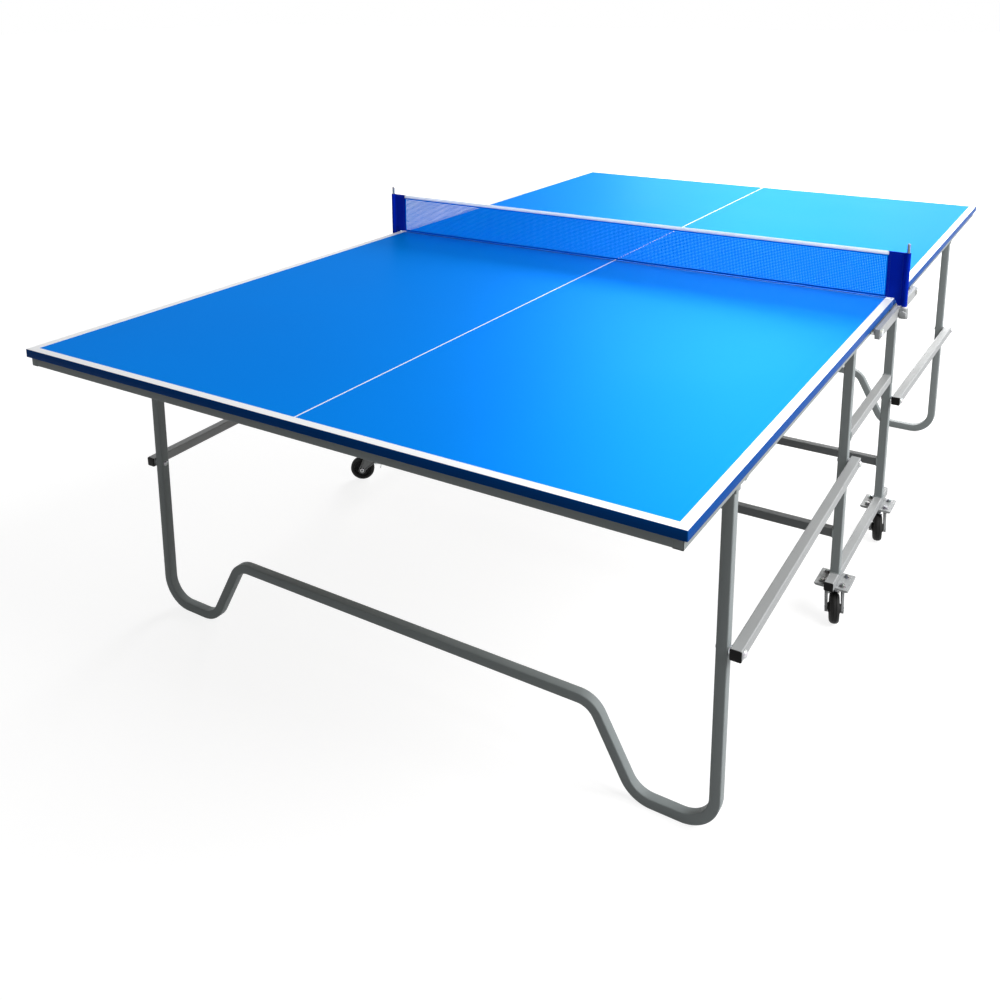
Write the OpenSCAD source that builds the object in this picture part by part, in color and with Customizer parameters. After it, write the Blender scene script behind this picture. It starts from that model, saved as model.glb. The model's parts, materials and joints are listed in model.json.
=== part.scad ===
// Rollaway ping pong table: two folding halves on a wheeled trolley, with a net.
// Millimetres. X is the width, Y the length, +Z up. The origin is on the floor, under the net's middle.
// "near" pieces lie towards -Y and "far" pieces towards +Y. "right" is +X.

/* [Playing surface] */
// Length of the whole table, over both halves
table_l = 2740; // [2200:10:2900]
// Width of the table
table_w = 1525; // [1300:5:1650]
// Height of the playing surface above the floor
table_h = 760; // [700:5:800]
// Thickness of each board
board_t = 18; // [12:1:25]
// Thickness of the strip glued round each board's edge
band_t = 2; // [1:0.5:3]
// Gap between the two halves under the net
halves_gap = 4.4; // [4.2:0.2:12]

/* [Frame under each half] */
// Distance from the board's edge in to the apron
apron_inset = 8; // [4:1:12]
// Height of the apron channel
apron_h = 20; // [18:1:24]
// Height of the rails that carry the net
rail_h = 24; // [18:1:28]
// Width of the apron channel's flanges
apron_w = 18; // [15:1:18]
// Sheet thickness of the apron channel
apron_wall = 1.5; // [1:0.1:2]
// Width of each cross stiffener
stiffener_w = 30; // [20:1:50]
// Height of each cross stiffener
stiffener_h = 15; // [10:1:18]

/* [Trolley and tubes] */
// Outer size of the square tube
tube = 22; // [20:1:24]
// Wall of the square tube
tube_wall = 1.5; // [1.2:0.1:2]
// Outer corner radius of the square tube
tube_corner = 2.5; // [2.2:0.1:4]
// Distance from the board's edge in to the posts' and legs' outer faces
side_inset = 32; // [31.5:0.5:34]
// Distance of the posts' centres from the net line
post_y = 235; // [232:1:300]
// Length of each base rail without its end caps
base_rail_l = 594; // [580:2:700]
// Height of the upper rails' undersides above the floor
upper_rail_z = 460; // [440:1:470]
// Height of the crossbars' undersides above the floor
crossbar_z = 210; // [150:1:350]
// Thickness of the plastic caps' flanges
cap_t = 3; // [2:0.5:5]

/* [Folding linkage] */
// Distance of the halves' hinge pins from the net line
hinge_y = 207; // [200:1:210]
// Depth of the halves' hinge pins below the boards' undersides
hinge_drop = 10; // [10:0.5:11]
// Further drop of the legs' hinge pins below the halves' hinge pins
leg_drop = 28; // [24:1:32]
// Height of the links' pivots on the posts above the floor
link_z = 410; // [380:1:425]
// Distance that each link runs past its pivots
link_over = 12; // [11:1:20]
// Gap that the washer fills between a link and its post or leg
washer_t = 4.5; // [3:0.5:4.5]
// Diameter of the halves' hinge bolts
hinge_d = 10; // [8:1:10]
// Diameter of the links' and legs' bolts
bolt_d = 8; // [6:1:8]
// Radial clearance of every pivot
pivot_gap = 0.08; // [0.04:0.01:0.1]

/* [Legs] */
// Distance of the legs' centres from the net line
leg_y = 1060; // [800:5:1150]
// Distance from each leg's centre in to the inner end of its foot
foot_l = 159.5; // [139.5:1:189.5]
// Distance from each leg's centre in to the end of the raised crossbar
shoulder_in = 251.5; // [229.5:1:299.5]
// Height of the raised crossbar's underside above the floor
leg_bar_z = 167; // [120:1:220]
// Centreline bend radius between leg and foot
foot_r = 65; // [45:1:70]
// Centreline bend radius between foot and slope
knee_r = 60; // [40:1:70]
// Centreline bend radius between slope and raised crossbar
shoulder_r = 50; // [40:1:70]
// Thickness of the hinge lugs on posts and legs
lug_t = 2.5; // [2:0.5:2.5]
// Thickness of the leg brackets on the halves
bracket_t = 3; // [2:0.5:3]

/* [Casters] */
// Diameter of the wheels
wheel_d = 75; // [60:1:75]
// Width of the wheels' tread
wheel_w = 26; // [20:1:28]
// Gap between each wheel and its fork's crown
wheel_gap = 5.7; // [5.7:0.1:12]
// Distance that each wheel trails behind its swivel axis
trail = 32; // [25:1:36]
// Side of the square caster plates
plate_w = 80; // [76:1:90]
// Thickness of the caster plates and of the plates welded to the base rails
plate_t = 3; // [2:0.5:3]
// Spacing of the plate bolts, both ways
plate_pitch = 48; // [46:1:56]
// Thickness of the fork's sheet
fork_t = 3; // [2:0.5:3]
// Thickness of the brake levers' strip
brake_t = 2.5; // [1.5:0.5:3]
// Gap between each brake's shoe and its wheel
shoe_gap = 4.8; // [4.8:0.1:6]
// Turn of the near left, near right, far left and far right casters at rest, in degrees
caster_turns = [-57, 17, 28, 15];

/* [Net] */
// Height of the net above the playing surface
net_h = 120; // [110:1:155]
// Distance of the net posts' centres outside the board's edge
net_reach = 25; // [25:1:60]
// Diameter of the net posts
net_post_d = 10; // [8:0.5:10]
// Height of the net posts' tips above the net's top
net_tip = 24; // [12:1:30]
// Width of the white tape along the net's top
tape_h = 14; // [10:1:20]
// Width of the cloth sleeve at each end of the net
sleeve_w = 52; // [48:1:70]
// Thickness of the net's cloth
cloth_t = 1.6; // [1:0.1:3]
// Gap between the net and the playing surface
net_gap = 2; // [1:0.5:5]

/* [Hidden] */
$fn = 48;
eps = 0.5;

// Paint and plating
frame_grey = [0.42, 0.45, 0.46];
light_grey = [0.76, 0.78, 0.79];
zinc = [0.75, 0.76, 0.77];
black = [0.06, 0.06, 0.07];
table_blue = [0.02, 0.45, 0.87];
band_blue = [0.03, 0.2, 0.55];
navy = [0.02, 0.09, 0.45];

// Places of the side tubes
half_w = table_w / 2;
side_out = half_w - side_inset;
side_x = side_out - tube / 2;
board_under = table_h - board_t;
apron_out = half_w - apron_inset;
apron_in = apron_out - apron_w;
apron_under = board_under - apron_h;
inner_y = halves_gap / 2;
outer_y = table_l / 2;
board_l = outer_y - inner_y;

// Casters, from the wheel up to the base rail
wheel_r = wheel_d / 2;
seat_gap = 0.3;
press_gap = 0.05;
race_t = 6;
race_d = 44;
crown_under = wheel_d + wheel_gap;
crown_top = crown_under + fork_t;
race_under = crown_top + seat_gap;
caster_plate_under = race_under + race_t;
caster_plate_top = caster_plate_under + plate_t;
base_z = caster_plate_top + plate_t;
kingpin_d = 12;
kingpin_bore = kingpin_d + 2 * pivot_gap;
kingpin_top = caster_plate_under - press_gap;
kingpin_under = crown_under - seat_gap;
kingpin_head_d = 18;
kingpin_head_t = 2;
plate_head_t = 2.5;
thread_over = 2;
cheek_in = wheel_w / 2 + 3;
cheek_out = cheek_in + fork_t;
cheek_r = 11;
fork_front = 20;
fork_back = 24;
axle_d = 8;
axle_head_d = 13;
hub_r = 12;
brake_pin_d = 5;
brake_y = 14;
brake_z = crown_under - brake_pin_d / 2 - 2.2;

// Pivots of the folding linkage: each half, its leg and its two links form a parallelogram
hinge_z = board_under - hinge_drop;
lug_reach = post_y - hinge_y;
leg_hinge_y = leg_y - lug_reach;
leg_hinge_z = hinge_z - leg_drop;
leg_link_z = link_z - leg_drop;
link_in = side_out + washer_t;
link_mid = link_in + tube / 2;
link_run = leg_y - post_y;
link_l = norm([link_run, leg_drop]);
link_tilt = atan(leg_drop / link_run);
post_lug_r = hinge_drop - 0.5;
post_lug_drop = 26;
leg_lug_r = 11;
leg_lug_drop = 22;
bracket_r = 12;
bracket_w = 40;
post_top = hinge_z + 4;
post_foot = base_z + tube;
leg_top = leg_hinge_z + 10;
bolt_bore = bolt_d + 2 * pivot_gap;
hinge_bore = hinge_d + 2 * pivot_gap;
head_t = 4.5;
nut_t = 6.5;
hinge_nut_d = 19;
bolt_nut_d = 15;
spacer_d = 16;
washer_d = 18;
washer_gap = 0.2;
plug_l = 10;

// Net rail and bracket
rail_gap = 3;
rail_t = 12;
rail_over = 10;
rail_wall = 1.5;
rail_top = hinge_z + 10;
rail_in = half_w + rail_gap;
rail_out = rail_in + rail_t;
net_post_x = half_w + net_reach;
socket_h = 26;
socket_top = hinge_z + 8;
socket_z = socket_top - socket_h;
socket_w = 19;
socket_bore = net_post_d + 0.2;
collar_t = 4;
collar_d = net_post_d + 6;
post_under = socket_z + 2;
pocket_d = net_post_d + 4;
net_top = table_h + net_h;
net_under = table_h + net_gap;
sleeve_out = net_post_x + net_post_d / 2 + 2;
sleeve_in = sleeve_out - sleeve_w;
screw_d = 6;
screw_z = socket_z + socket_h / 2;
knob_d = 18;
knob_t = 8;

module rounded_square(w, r) {
    square([w - 2 * r, w], center = true);
    square([w, w - 2 * r], center = true);
    for (x = [-1, 1], y = [-1, 1])
        translate([x * (w / 2 - r), y * (w / 2 - r)]) circle(r, $fn = 16);
}

module tube_profile() {
    difference() {
        rounded_square(tube, tube_corner);
        rounded_square(tube - 2 * tube_wall, tube_corner - tube_wall);
    }
}

// A length of tube along +X, starting at the origin
module tube_along_x(length) {
    rotate([90, 0, 90]) linear_extrude(length) tube_profile();
}

// A round bar along +X, from x1 to x2
module bar_x(d, x1, x2, sides = 48) {
    translate([x1, 0, 0]) rotate([0, 90, 0]) cylinder(d = d, h = x2 - x1, $fn = sides);
}

module right_or_left(side) {
    mirror([side < 0 ? 1 : 0, 0, 0]) children();
}

module near_or_far(end) {
    mirror([0, end > 0 ? 1 : 0, 0]) children();
}

module both_sides() {
    for (side = [-1, 1]) right_or_left(side) children();
}

module both_ends() {
    for (end = [-1, 1]) near_or_far(end) children();
}

// A plug for a square tube: a flange that covers the tube's end, and a stem inside it, along +X
module tube_plug() {
    stem = tube - 2 * tube_wall - 2 * seat_gap;
    rotate([90, 0, 90]) linear_extrude(cap_t) rounded_square(tube, tube_corner);
    translate([-plug_l, -stem / 2, -stem / 2]) cube([plug_l + eps, stem, stem]);
}

// ---- Trolley ----

module post(side, end) {
    color(frame_grey) right_or_left(side) near_or_far(end) difference() {
        translate([side_x, -post_y, post_foot]) rotate([0, -90, 0]) tube_along_x(post_top - post_foot);
        translate([0, -post_y, link_z]) bar_x(bolt_bore, side_x - tube, side_x + tube);
    }
}

module base_rail(side) {
    color(light_grey) right_or_left(side) {
        translate([side_x, -base_rail_l / 2, base_z + tube / 2])
            rotate([0, 0, 90]) tube_along_x(base_rail_l);
        both_ends() translate([side_x, -post_y, base_z]) plate(plate_t);
    }
}

// A square plate with four bolt holes, hanging down from z = 0
module plate(t) {
    difference() {
        translate([-plate_w / 2, -plate_w / 2, -t]) cube([plate_w, plate_w, t]);
        at_plate_bolts() translate([0, 0, -t - eps]) cylinder(d = bolt_bore, h = t + 2 * eps);
    }
}

module at_plate_bolts() {
    for (x = [-1, 1], y = [-1, 1]) translate([x, y] * plate_pitch / 2) children();
}

module upper_rail(side) {
    length = 2 * post_y - tube;
    color(light_grey) right_or_left(side)
        translate([side_x, -length / 2, upper_rail_z + tube / 2]) rotate([0, 0, 90]) tube_along_x(length);
}

module crossbar(end) {
    length = 2 * side_x - tube;
    color(frame_grey) near_or_far(end)
        translate([-length / 2, -post_y, crossbar_z + tube / 2]) tube_along_x(length);
}

module trolley_plugs() {
    color(black) both_sides() both_ends() {
        translate([side_x, -base_rail_l / 2, base_z + tube / 2]) rotate([0, 0, -90]) tube_plug();
        translate([side_x, -post_y, post_top]) rotate([0, -90, 0]) tube_plug();
    }
}

// A lug in the YZ plane: it lies on a tube and reaches from there to a pivot at the origin
module lug(r, drop, top, bore) {
    rotate([90, 0, 90]) linear_extrude(lug_t) difference() {
        union() {
            circle(r);
            translate([-lug_reach - tube / 2, -r]) square([lug_reach + tube / 2, top + r]);
            translate([-lug_reach - tube / 2, -drop]) square([tube, drop + top]);
        }
        circle(d = bore);
    }
}

module post_lugs() {
    color(frame_grey) both_sides() both_ends()
        translate([side_out, -hinge_y, hinge_z]) lug(post_lug_r, post_lug_drop, 0, hinge_bore);
}

// Bolts that carry the halves, each with its head outside the net rail and a spacer inside it
module hinge_bolts() {
    color(zinc) both_sides() both_ends() translate([0, -hinge_y, hinge_z]) {
        bar_x(hinge_d, side_out - nut_t, rail_out + head_t);
        bar_x(hinge_nut_d, rail_out, rail_out + head_t, 6);
        bar_x(hinge_nut_d, side_out - nut_t, side_out, 6);
        bar_x(spacer_d, apron_out + seat_gap, rail_in);
    }
}

// Bolts that carry the links on the posts, each with a thick washer between post and link
module link_bolt() {
    bar_x(bolt_d, side_out - tube - nut_t, link_in + tube + head_t);
    bar_x(bolt_nut_d, link_in + tube, link_in + tube + head_t);
    bar_x(bolt_nut_d, side_out - tube - nut_t, side_out - tube, 6);
    bar_x(washer_d, side_out, link_in - washer_gap);
}

module link_post_bolts() {
    color(zinc) both_sides() both_ends() translate([0, -post_y, link_z]) link_bolt();
}

module net_rail(side) {
    length = 2 * (hinge_y + rail_over);
    color(light_grey) right_or_left(side) difference() {
        translate([rail_in, -length / 2, rail_top - rail_h]) cube([rail_t, length, rail_h]);
        translate([rail_in + rail_wall, -length / 2 - eps, rail_top - rail_h + rail_wall])
            cube([rail_t - 2 * rail_wall, length + 2 * eps, rail_h - 2 * rail_wall]);
        both_ends() translate([0, -hinge_y, hinge_z]) bar_x(hinge_bore, rail_in - eps, rail_out + eps);
    }
}

module net_bracket(side) {
    color(zinc) right_or_left(side) difference() {
        translate([rail_out, -socket_w / 2, socket_z])
            cube([net_post_x + socket_w / 2 - rail_out, socket_w, socket_h]);
        translate([net_post_x, 0, socket_z - eps]) cylinder(d = socket_bore, h = socket_h + 2 * eps);
        translate([net_post_x, 0, screw_z]) rotate([90, 0, 0])
            cylinder(d = screw_d + 2 * pivot_gap, h = socket_w);
    }
}

// Each plate carries a ball race and a kingpin with a flat head under the fork's crown
module caster_plates() {
    color(zinc) both_sides() both_ends() translate([side_x, -post_y, 0]) {
        translate([0, 0, caster_plate_top]) plate(plate_t);
        difference() {
            translate([0, 0, race_under]) cylinder(d = race_d, h = race_t - press_gap);
            translate([0, 0, race_under - eps]) cylinder(d = kingpin_bore, h = race_t + 2 * eps);
        }
        translate([0, 0, kingpin_under]) cylinder(d = kingpin_d, h = kingpin_top - kingpin_under);
        translate([0, 0, kingpin_under - kingpin_head_t]) cylinder(d = kingpin_head_d, h = kingpin_head_t);
    }
}

module caster_bolts() {
    color(zinc) both_sides() both_ends() translate([side_x, -post_y, 0]) at_plate_bolts() {
        translate([0, 0, caster_plate_under]) cylinder(d = bolt_d, h = 2 * plate_t + nut_t + thread_over);
        translate([0, 0, caster_plate_under - plate_head_t]) cylinder(d = bolt_nut_d, h = plate_head_t);
        translate([0, 0, base_z]) cylinder(d = bolt_nut_d, h = nut_t, $fn = 6);
    }
}

// ---- Casters: index 0 near left, 1 near right, 2 far left, 3 far right ----

module at_caster(i) {
    side = i % 2 == 0 ? -1 : 1;
    end = i < 2 ? -1 : 1;
    translate([side * side_x, end * post_y, 0]) rotate([0, 0, caster_turns[i]]) children();
}

// A fork cheek in the YZ plane, its axle trailing towards -Y
module cheek() {
    front_h = 12;
    rotate([90, 0, 90]) linear_extrude(fork_t) {
        polygon([[fork_front, crown_top], [-fork_back, crown_top], [-trail - cheek_r, wheel_r],
            [-trail + cheek_r, wheel_r], [fork_front, crown_top - front_h]]);
        translate([-trail, wheel_r]) circle(cheek_r);
    }
}

// The fork with its axle and the brake's pin
module fork(i) {
    rivet_t = 1.5;
    color(zinc) at_caster(i) {
        difference() {
            union() {
                for (x = [-cheek_out, cheek_in]) translate([x, 0, 0]) cheek();
                translate([-cheek_out, -fork_back, crown_under])
                    cube([2 * cheek_out, fork_back + fork_front, fork_t]);
            }
            translate([0, 0, crown_under - eps]) cylinder(d = kingpin_bore, h = fork_t + 2 * eps);
            translate([0, -trail, wheel_r]) bar_x(axle_d + 2 * pivot_gap, -cheek_out - eps, cheek_out + eps);
            translate([0, brake_y, brake_z])
                bar_x(brake_pin_d + pivot_gap, -cheek_out - eps, cheek_out + eps);
        }
        translate([0, -trail, wheel_r]) {
            bar_x(axle_d, -cheek_out - head_t, cheek_out + head_t);
            bar_x(axle_head_d, -cheek_out - head_t, -cheek_out);
            bar_x(axle_head_d, cheek_out, cheek_out + head_t, 6);
        }
        translate([0, brake_y, brake_z]) {
            bar_x(brake_pin_d, -cheek_out - rivet_t, cheek_out + rivet_t);
            for (x = [-cheek_out - rivet_t, cheek_out]) bar_x(brake_pin_d + 2, x, x + rivet_t);
        }
    }
}

// A curved lever that hangs from its pin at the front of the fork, with a shoe that reaches for the wheel
module brake(i) {
    width = 2 * cheek_in - 4;
    bow_r = 27;
    bow_centre = [-12, -24];
    bow_from = -25;
    bow_to = 65;
    far = 60;
    shoe_h = 5;
    shoe_front = 13;
    shoe_drop = 22;
    shoe_rise = brake_z - shoe_drop - wheel_r;
    shoe_back = sqrt(pow(wheel_r + shoe_gap, 2) - pow(shoe_rise, 2)) - trail - brake_y;
    color(zinc) at_caster(i) translate([-width / 2, brake_y, brake_z])
        rotate([90, 0, 90]) linear_extrude(width) difference() {
            union() {
                circle(d = brake_pin_d + 3);
                translate(bow_centre) intersection() {
                    difference() {
                        circle(bow_r);
                        circle(bow_r - brake_t);
                    }
                    polygon([[0, 0], far * [cos(bow_from), sin(bow_from)], [2 * far, 0],
                        far * [cos(bow_to), sin(bow_to)]]);
                }
                translate([shoe_back, -shoe_drop]) square([shoe_front - shoe_back, shoe_h]);
            }
            circle(d = brake_pin_d + 2 * pivot_gap);
        }
}

// A moulded wheel: a crowned tread on a dished disc with a hub
module wheel(i) {
    half = wheel_w / 2;
    tread = 10;
    edge_r = 3;
    disc_t = 8;
    hub_l = 2 * cheek_in - 1;
    bore_r = axle_d / 2 + pivot_gap;
    color(black) at_caster(i) translate([0, -trail, wheel_r]) rotate([0, 90, 0]) rotate_extrude($fn = 64) {
        translate([wheel_r - tread, -half + edge_r]) square([tread, wheel_w - 2 * edge_r]);
        translate([wheel_r - tread, -half]) square([tread - edge_r, wheel_w]);
        for (y = [-1, 1]) translate([wheel_r - edge_r, y * (half - edge_r)]) circle(edge_r);
        translate([hub_r - 1, -disc_t / 2]) square([wheel_r - tread - hub_r + 2, disc_t]);
        translate([bore_r, -hub_l / 2]) square([hub_r - bore_r, hub_l]);
    }
}

// ---- Halves ----

module board(end) {
    color(table_blue) near_or_far(end)
        translate([-half_w + band_t, -outer_y + band_t, board_under])
        cube([table_w - 2 * band_t, board_l - 2 * band_t, board_t]);
}

module edge_band(end) {
    color(band_blue) near_or_far(end) difference() {
        translate([-half_w, -outer_y, board_under]) cube([table_w, board_l, board_t]);
        translate([-half_w + band_t, -outer_y + band_t, board_under - eps])
            cube([table_w - 2 * band_t, board_l - 2 * band_t, board_t + 2 * eps]);
    }
}

// A channel along +Y under the board: its web faces +X at x = 0 and its flanges reach to -X
module channel(length) {
    rotate([-90, 0, 0]) linear_extrude(length) difference() {
        translate([-apron_w, 0]) square([apron_w, apron_h]);
        translate([-apron_w - eps, apron_wall])
            square([apron_w - apron_wall + eps, apron_h - 2 * apron_wall]);
    }
}

module side_aprons(end) {
    length = board_l - 2 * apron_inset;
    color(frame_grey) near_or_far(end) both_sides() difference() {
        union() {
            translate([apron_out, -outer_y + apron_inset, board_under]) channel(length);
            translate([0, -hinge_y, hinge_z]) bar_x(spacer_d, side_out + lug_t + seat_gap, apron_out);
        }
        translate([0, -hinge_y, hinge_z]) bar_x(hinge_bore, side_out, apron_out + eps);
    }
}

// The end channels butt against the side channels
module end_aprons(end) {
    length = 2 * apron_in;
    color(frame_grey) near_or_far(end) {
        translate([-length / 2, -outer_y + apron_inset, board_under]) rotate([0, 0, -90]) channel(length);
        translate([length / 2, -inner_y - apron_inset, board_under]) rotate([0, 0, 90]) channel(length);
    }
}

module stiffeners(end) {
    length = 2 * apron_in;
    color(frame_grey) near_or_far(end) for (y = [0.4, 0.7] * outer_y)
        translate([-length / 2, -y - stiffener_w / 2, board_under - stiffener_h]) difference() {
            cube([length, stiffener_w, stiffener_h]);
            translate([-eps, apron_wall, -eps])
                cube([length + 2 * eps, stiffener_w - 2 * apron_wall, stiffener_h - apron_wall + eps]);
        }
}

// Plates that hang from the side channels and carry the legs' hinge bolts
module leg_brackets(end) {
    half = bracket_w / 2;
    color(frame_grey) near_or_far(end) both_sides()
        translate([apron_in - bracket_t, -leg_hinge_y, leg_hinge_z])
        rotate([90, 0, 90]) linear_extrude(bracket_t) difference() {
            union() {
                circle(bracket_r);
                polygon([[-bracket_r, 0], [bracket_r, 0], [half, apron_under - leg_hinge_z],
                    [half, board_under - leg_hinge_z], [-half, board_under - leg_hinge_z],
                    [-half, apron_under - leg_hinge_z]]);
            }
            circle(d = bolt_bore);
        }
}

// ---- Legs ----

foot_z = tube / 2;
foot_x = side_x - foot_l;
shoulder_x = side_x - shoulder_in;
leg_bar_mid = leg_bar_z + tube / 2;
slope = atan2(leg_bar_mid - foot_z, foot_x - shoulder_x);
knee_t = knee_r * tan(slope / 2);
shoulder_t = shoulder_r * tan(slope / 2);
bend_steps = 12;

function arc_points(centre, r, from, to) =
    [for (i = [0:bend_steps]) let (a = from + (to - from) * i / bend_steps) centre + r * [cos(a), sin(a)]];

function reversed(points) = [for (i = [len(points) - 1:-1:0]) points[i]];

function mirrored(points) = [for (p = points) [-p[0], p[1]]];

// From a leg's top down round its floor loop to the raised crossbar, a distance outside the centreline
function half_line(out, top) = concat(
    [[side_x + out, top]],
    arc_points([side_x - foot_r, foot_z + foot_r], foot_r + out, 0, -90),
    arc_points([foot_x + knee_t, foot_z + knee_r], knee_r + out, -90, -90 - slope),
    arc_points([shoulder_x - shoulder_t, leg_bar_mid - shoulder_r], shoulder_r - out, 90 - slope, 90));

function whole_line(out, top) = concat(half_line(out, top), reversed(mirrored(half_line(out, top))));

// The bent tube lies in the XY plane here, w wide and w thick
module bent_bar(w, top) {
    linear_extrude(w, center = true)
        polygon(concat(whole_line(w / 2, top), reversed(whole_line(-w / 2, top))));
}

module leg(end) {
    color(frame_grey) near_or_far(end) {
        difference() {
            translate([0, -leg_y, 0]) rotate([90, 0, 0]) difference() {
                bent_bar(tube, leg_top);
                bent_bar(tube - 2 * tube_wall, leg_top + eps);
            }
            both_sides() translate([0, -leg_y, leg_link_z])
                bar_x(bolt_bore, side_out - 2 * tube, side_out + eps);
        }
        both_sides() translate([side_out, -leg_hinge_y, leg_hinge_z])
            lug(leg_lug_r, leg_lug_drop, leg_top - leg_hinge_z, bolt_bore);
    }
}

module leg_bolts(end) {
    hinge_in = side_out - nut_t;
    hinge_out = apron_in + head_t;
    color(zinc) near_or_far(end) both_sides() {
        translate([0, -leg_y, leg_link_z]) link_bolt();
        translate([0, -leg_hinge_y, leg_hinge_z]) {
            bar_x(bolt_d, hinge_in, hinge_out);
            bar_x(bolt_nut_d, apron_in + washer_gap, hinge_out);
            bar_x(bolt_nut_d, hinge_in, side_out, 6);
        }
    }
}

// ---- Links ----

// Lies along the line from the post's pivot to the leg's pivot, in a frame whose X runs along that line
module along_link() {
    translate([link_mid, -post_y, link_z]) rotate([0, 0, -90]) rotate([0, link_tilt, 0]) children();
}

module link(side, end) {
    color(light_grey) right_or_left(side) near_or_far(end) along_link() difference() {
        translate([-link_over, 0, 0]) tube_along_x(link_l + 2 * link_over);
        for (x = [0, link_l])
            translate([x, tube, 0]) rotate([90, 0, 0]) cylinder(d = bolt_bore, h = 2 * tube);
    }
}

module link_caps(end) {
    color(black) near_or_far(end) both_sides() along_link() {
        translate([link_l + link_over, 0, 0]) link_cap();
        translate([-link_over, 0, 0]) rotate([0, 0, 180]) link_cap();
    }
}

// A shallow plug, so that the bolt near the link's end has room
module link_cap() {
    stem = tube - 2 * tube_wall - 2 * seat_gap;
    reach = link_over - bolt_d / 2 - 2;
    rotate([90, 0, 90]) linear_extrude(cap_t) rounded_square(tube, tube_corner);
    translate([-reach, -stem / 2, -stem / 2]) cube([reach + eps, stem, stem]);
}

// ---- Net ----

// Each post has a round tip, and a loose collar that stands on its bracket
module net_posts() {
    tip_z = net_top + net_tip - net_post_d / 2;
    color(zinc) both_sides() translate([net_post_x, 0, 0]) {
        translate([0, 0, post_under]) cylinder(d = net_post_d, h = tip_z - post_under);
        translate([0, 0, tip_z]) sphere(d = net_post_d);
        translate([0, 0, socket_top]) difference() {
            cylinder(d = collar_d, h = collar_t);
            translate([0, 0, -eps]) cylinder(d = socket_bore, h = collar_t + 2 * eps);
        }
    }
}

module net_mesh() {
    color(navy) translate([-sleeve_in, -cloth_t / 2, net_under])
        cube([2 * sleeve_in, cloth_t, net_h - tape_h - net_gap]);
}

module net_tape() {
    color("white") translate([-sleeve_in, -cloth_t, net_top - tape_h])
        cube([2 * sleeve_in, 2 * cloth_t, tape_h]);
}

// A flat cloth end that is sewn to a round pocket for the net post
module net_sleeves() {
    pocket_under = socket_top + collar_t + seat_gap;
    pocket_h = net_top - pocket_under;
    color(navy) both_sides() {
        difference() {
            translate([sleeve_in, -cloth_t, net_under])
                cube([net_post_x - sleeve_in, 2 * cloth_t, net_top - net_under]);
            translate([net_post_x, 0, net_under - eps])
                cylinder(d = pocket_d + 2 * press_gap, h = net_top - net_under + 2 * eps);
        }
        translate([net_post_x, 0, pocket_under]) difference() {
            cylinder(d = pocket_d, h = pocket_h);
            translate([0, 0, -eps]) cylinder(d = net_post_d + 2 * seat_gap, h = pocket_h + 2 * eps);
        }
    }
}

module thumb_screw(side) {
    tip = net_post_d / 2 + seat_gap;
    knob_from = socket_w / 2 + 2;
    flute_d = 6;
    flute_out = 1.5;
    color(black) right_or_left(side) translate([net_post_x, 0, screw_z]) rotate([90, 0, 0]) {
        translate([0, 0, tip]) cylinder(d = screw_d, h = knob_from + 2 - tip);
        translate([0, 0, knob_from]) difference() {
            cylinder(d = knob_d, h = knob_t);
            for (a = [0:60:300]) rotate([0, 0, a]) translate([knob_d / 2 + flute_out, 0, -eps])
                cylinder(d = flute_d, h = knob_t + 2 * eps);
        }
    }
}

post(-1, -1);  // near_left_post
post(1, -1);  // near_right_post
post(-1, 1);  // far_left_post
post(1, 1);  // far_right_post
base_rail(-1);  // left_base_rail
base_rail(1);  // right_base_rail
upper_rail(-1);  // left_upper_rail
upper_rail(1);  // right_upper_rail
crossbar(-1);  // near_crossbar
crossbar(1);  // far_crossbar
trolley_plugs();
post_lugs();
hinge_bolts();
link_post_bolts();
net_rail(-1);  // left_net_rail
net_rail(1);  // right_net_rail
net_bracket(-1);  // left_net_bracket
net_bracket(1);  // right_net_bracket
caster_plates();
caster_bolts();
fork(0);  // near_left_fork
fork(1);  // near_right_fork
fork(2);  // far_left_fork
fork(3);  // far_right_fork
brake(0);  // near_left_brake
brake(1);  // near_right_brake
brake(2);  // far_left_brake
brake(3);  // far_right_brake
wheel(0);  // near_left_wheel
wheel(1);  // near_right_wheel
wheel(2);  // far_left_wheel
wheel(3);  // far_right_wheel
board(-1);  // near_board
edge_band(-1);  // near_edge_band
side_aprons(-1);  // near_side_aprons
end_aprons(-1);  // near_end_aprons
stiffeners(-1);  // near_stiffeners
leg_brackets(-1);  // near_leg_brackets
board(1);  // far_board
edge_band(1);  // far_edge_band
side_aprons(1);  // far_side_aprons
end_aprons(1);  // far_end_aprons
stiffeners(1);  // far_stiffeners
leg_brackets(1);  // far_leg_brackets
leg(-1);  // near_leg
leg_bolts(-1);  // near_leg_bolts
leg(1);  // far_leg
leg_bolts(1);  // far_leg_bolts
link(-1, -1);  // near_left_link
link(1, -1);  // near_right_link
link_caps(-1);  // near_link_caps
link(-1, 1);  // far_left_link
link(1, 1);  // far_right_link
link_caps(1);  // far_link_caps
net_posts();
net_mesh();
net_tape();
net_sleeves();
thumb_screw(-1);  // left_thumb_screw
thumb_screw(1);  // right_thumb_screw
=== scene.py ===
import json
import math

import bmesh
import bpy
from mathutils import Matrix, Vector


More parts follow.
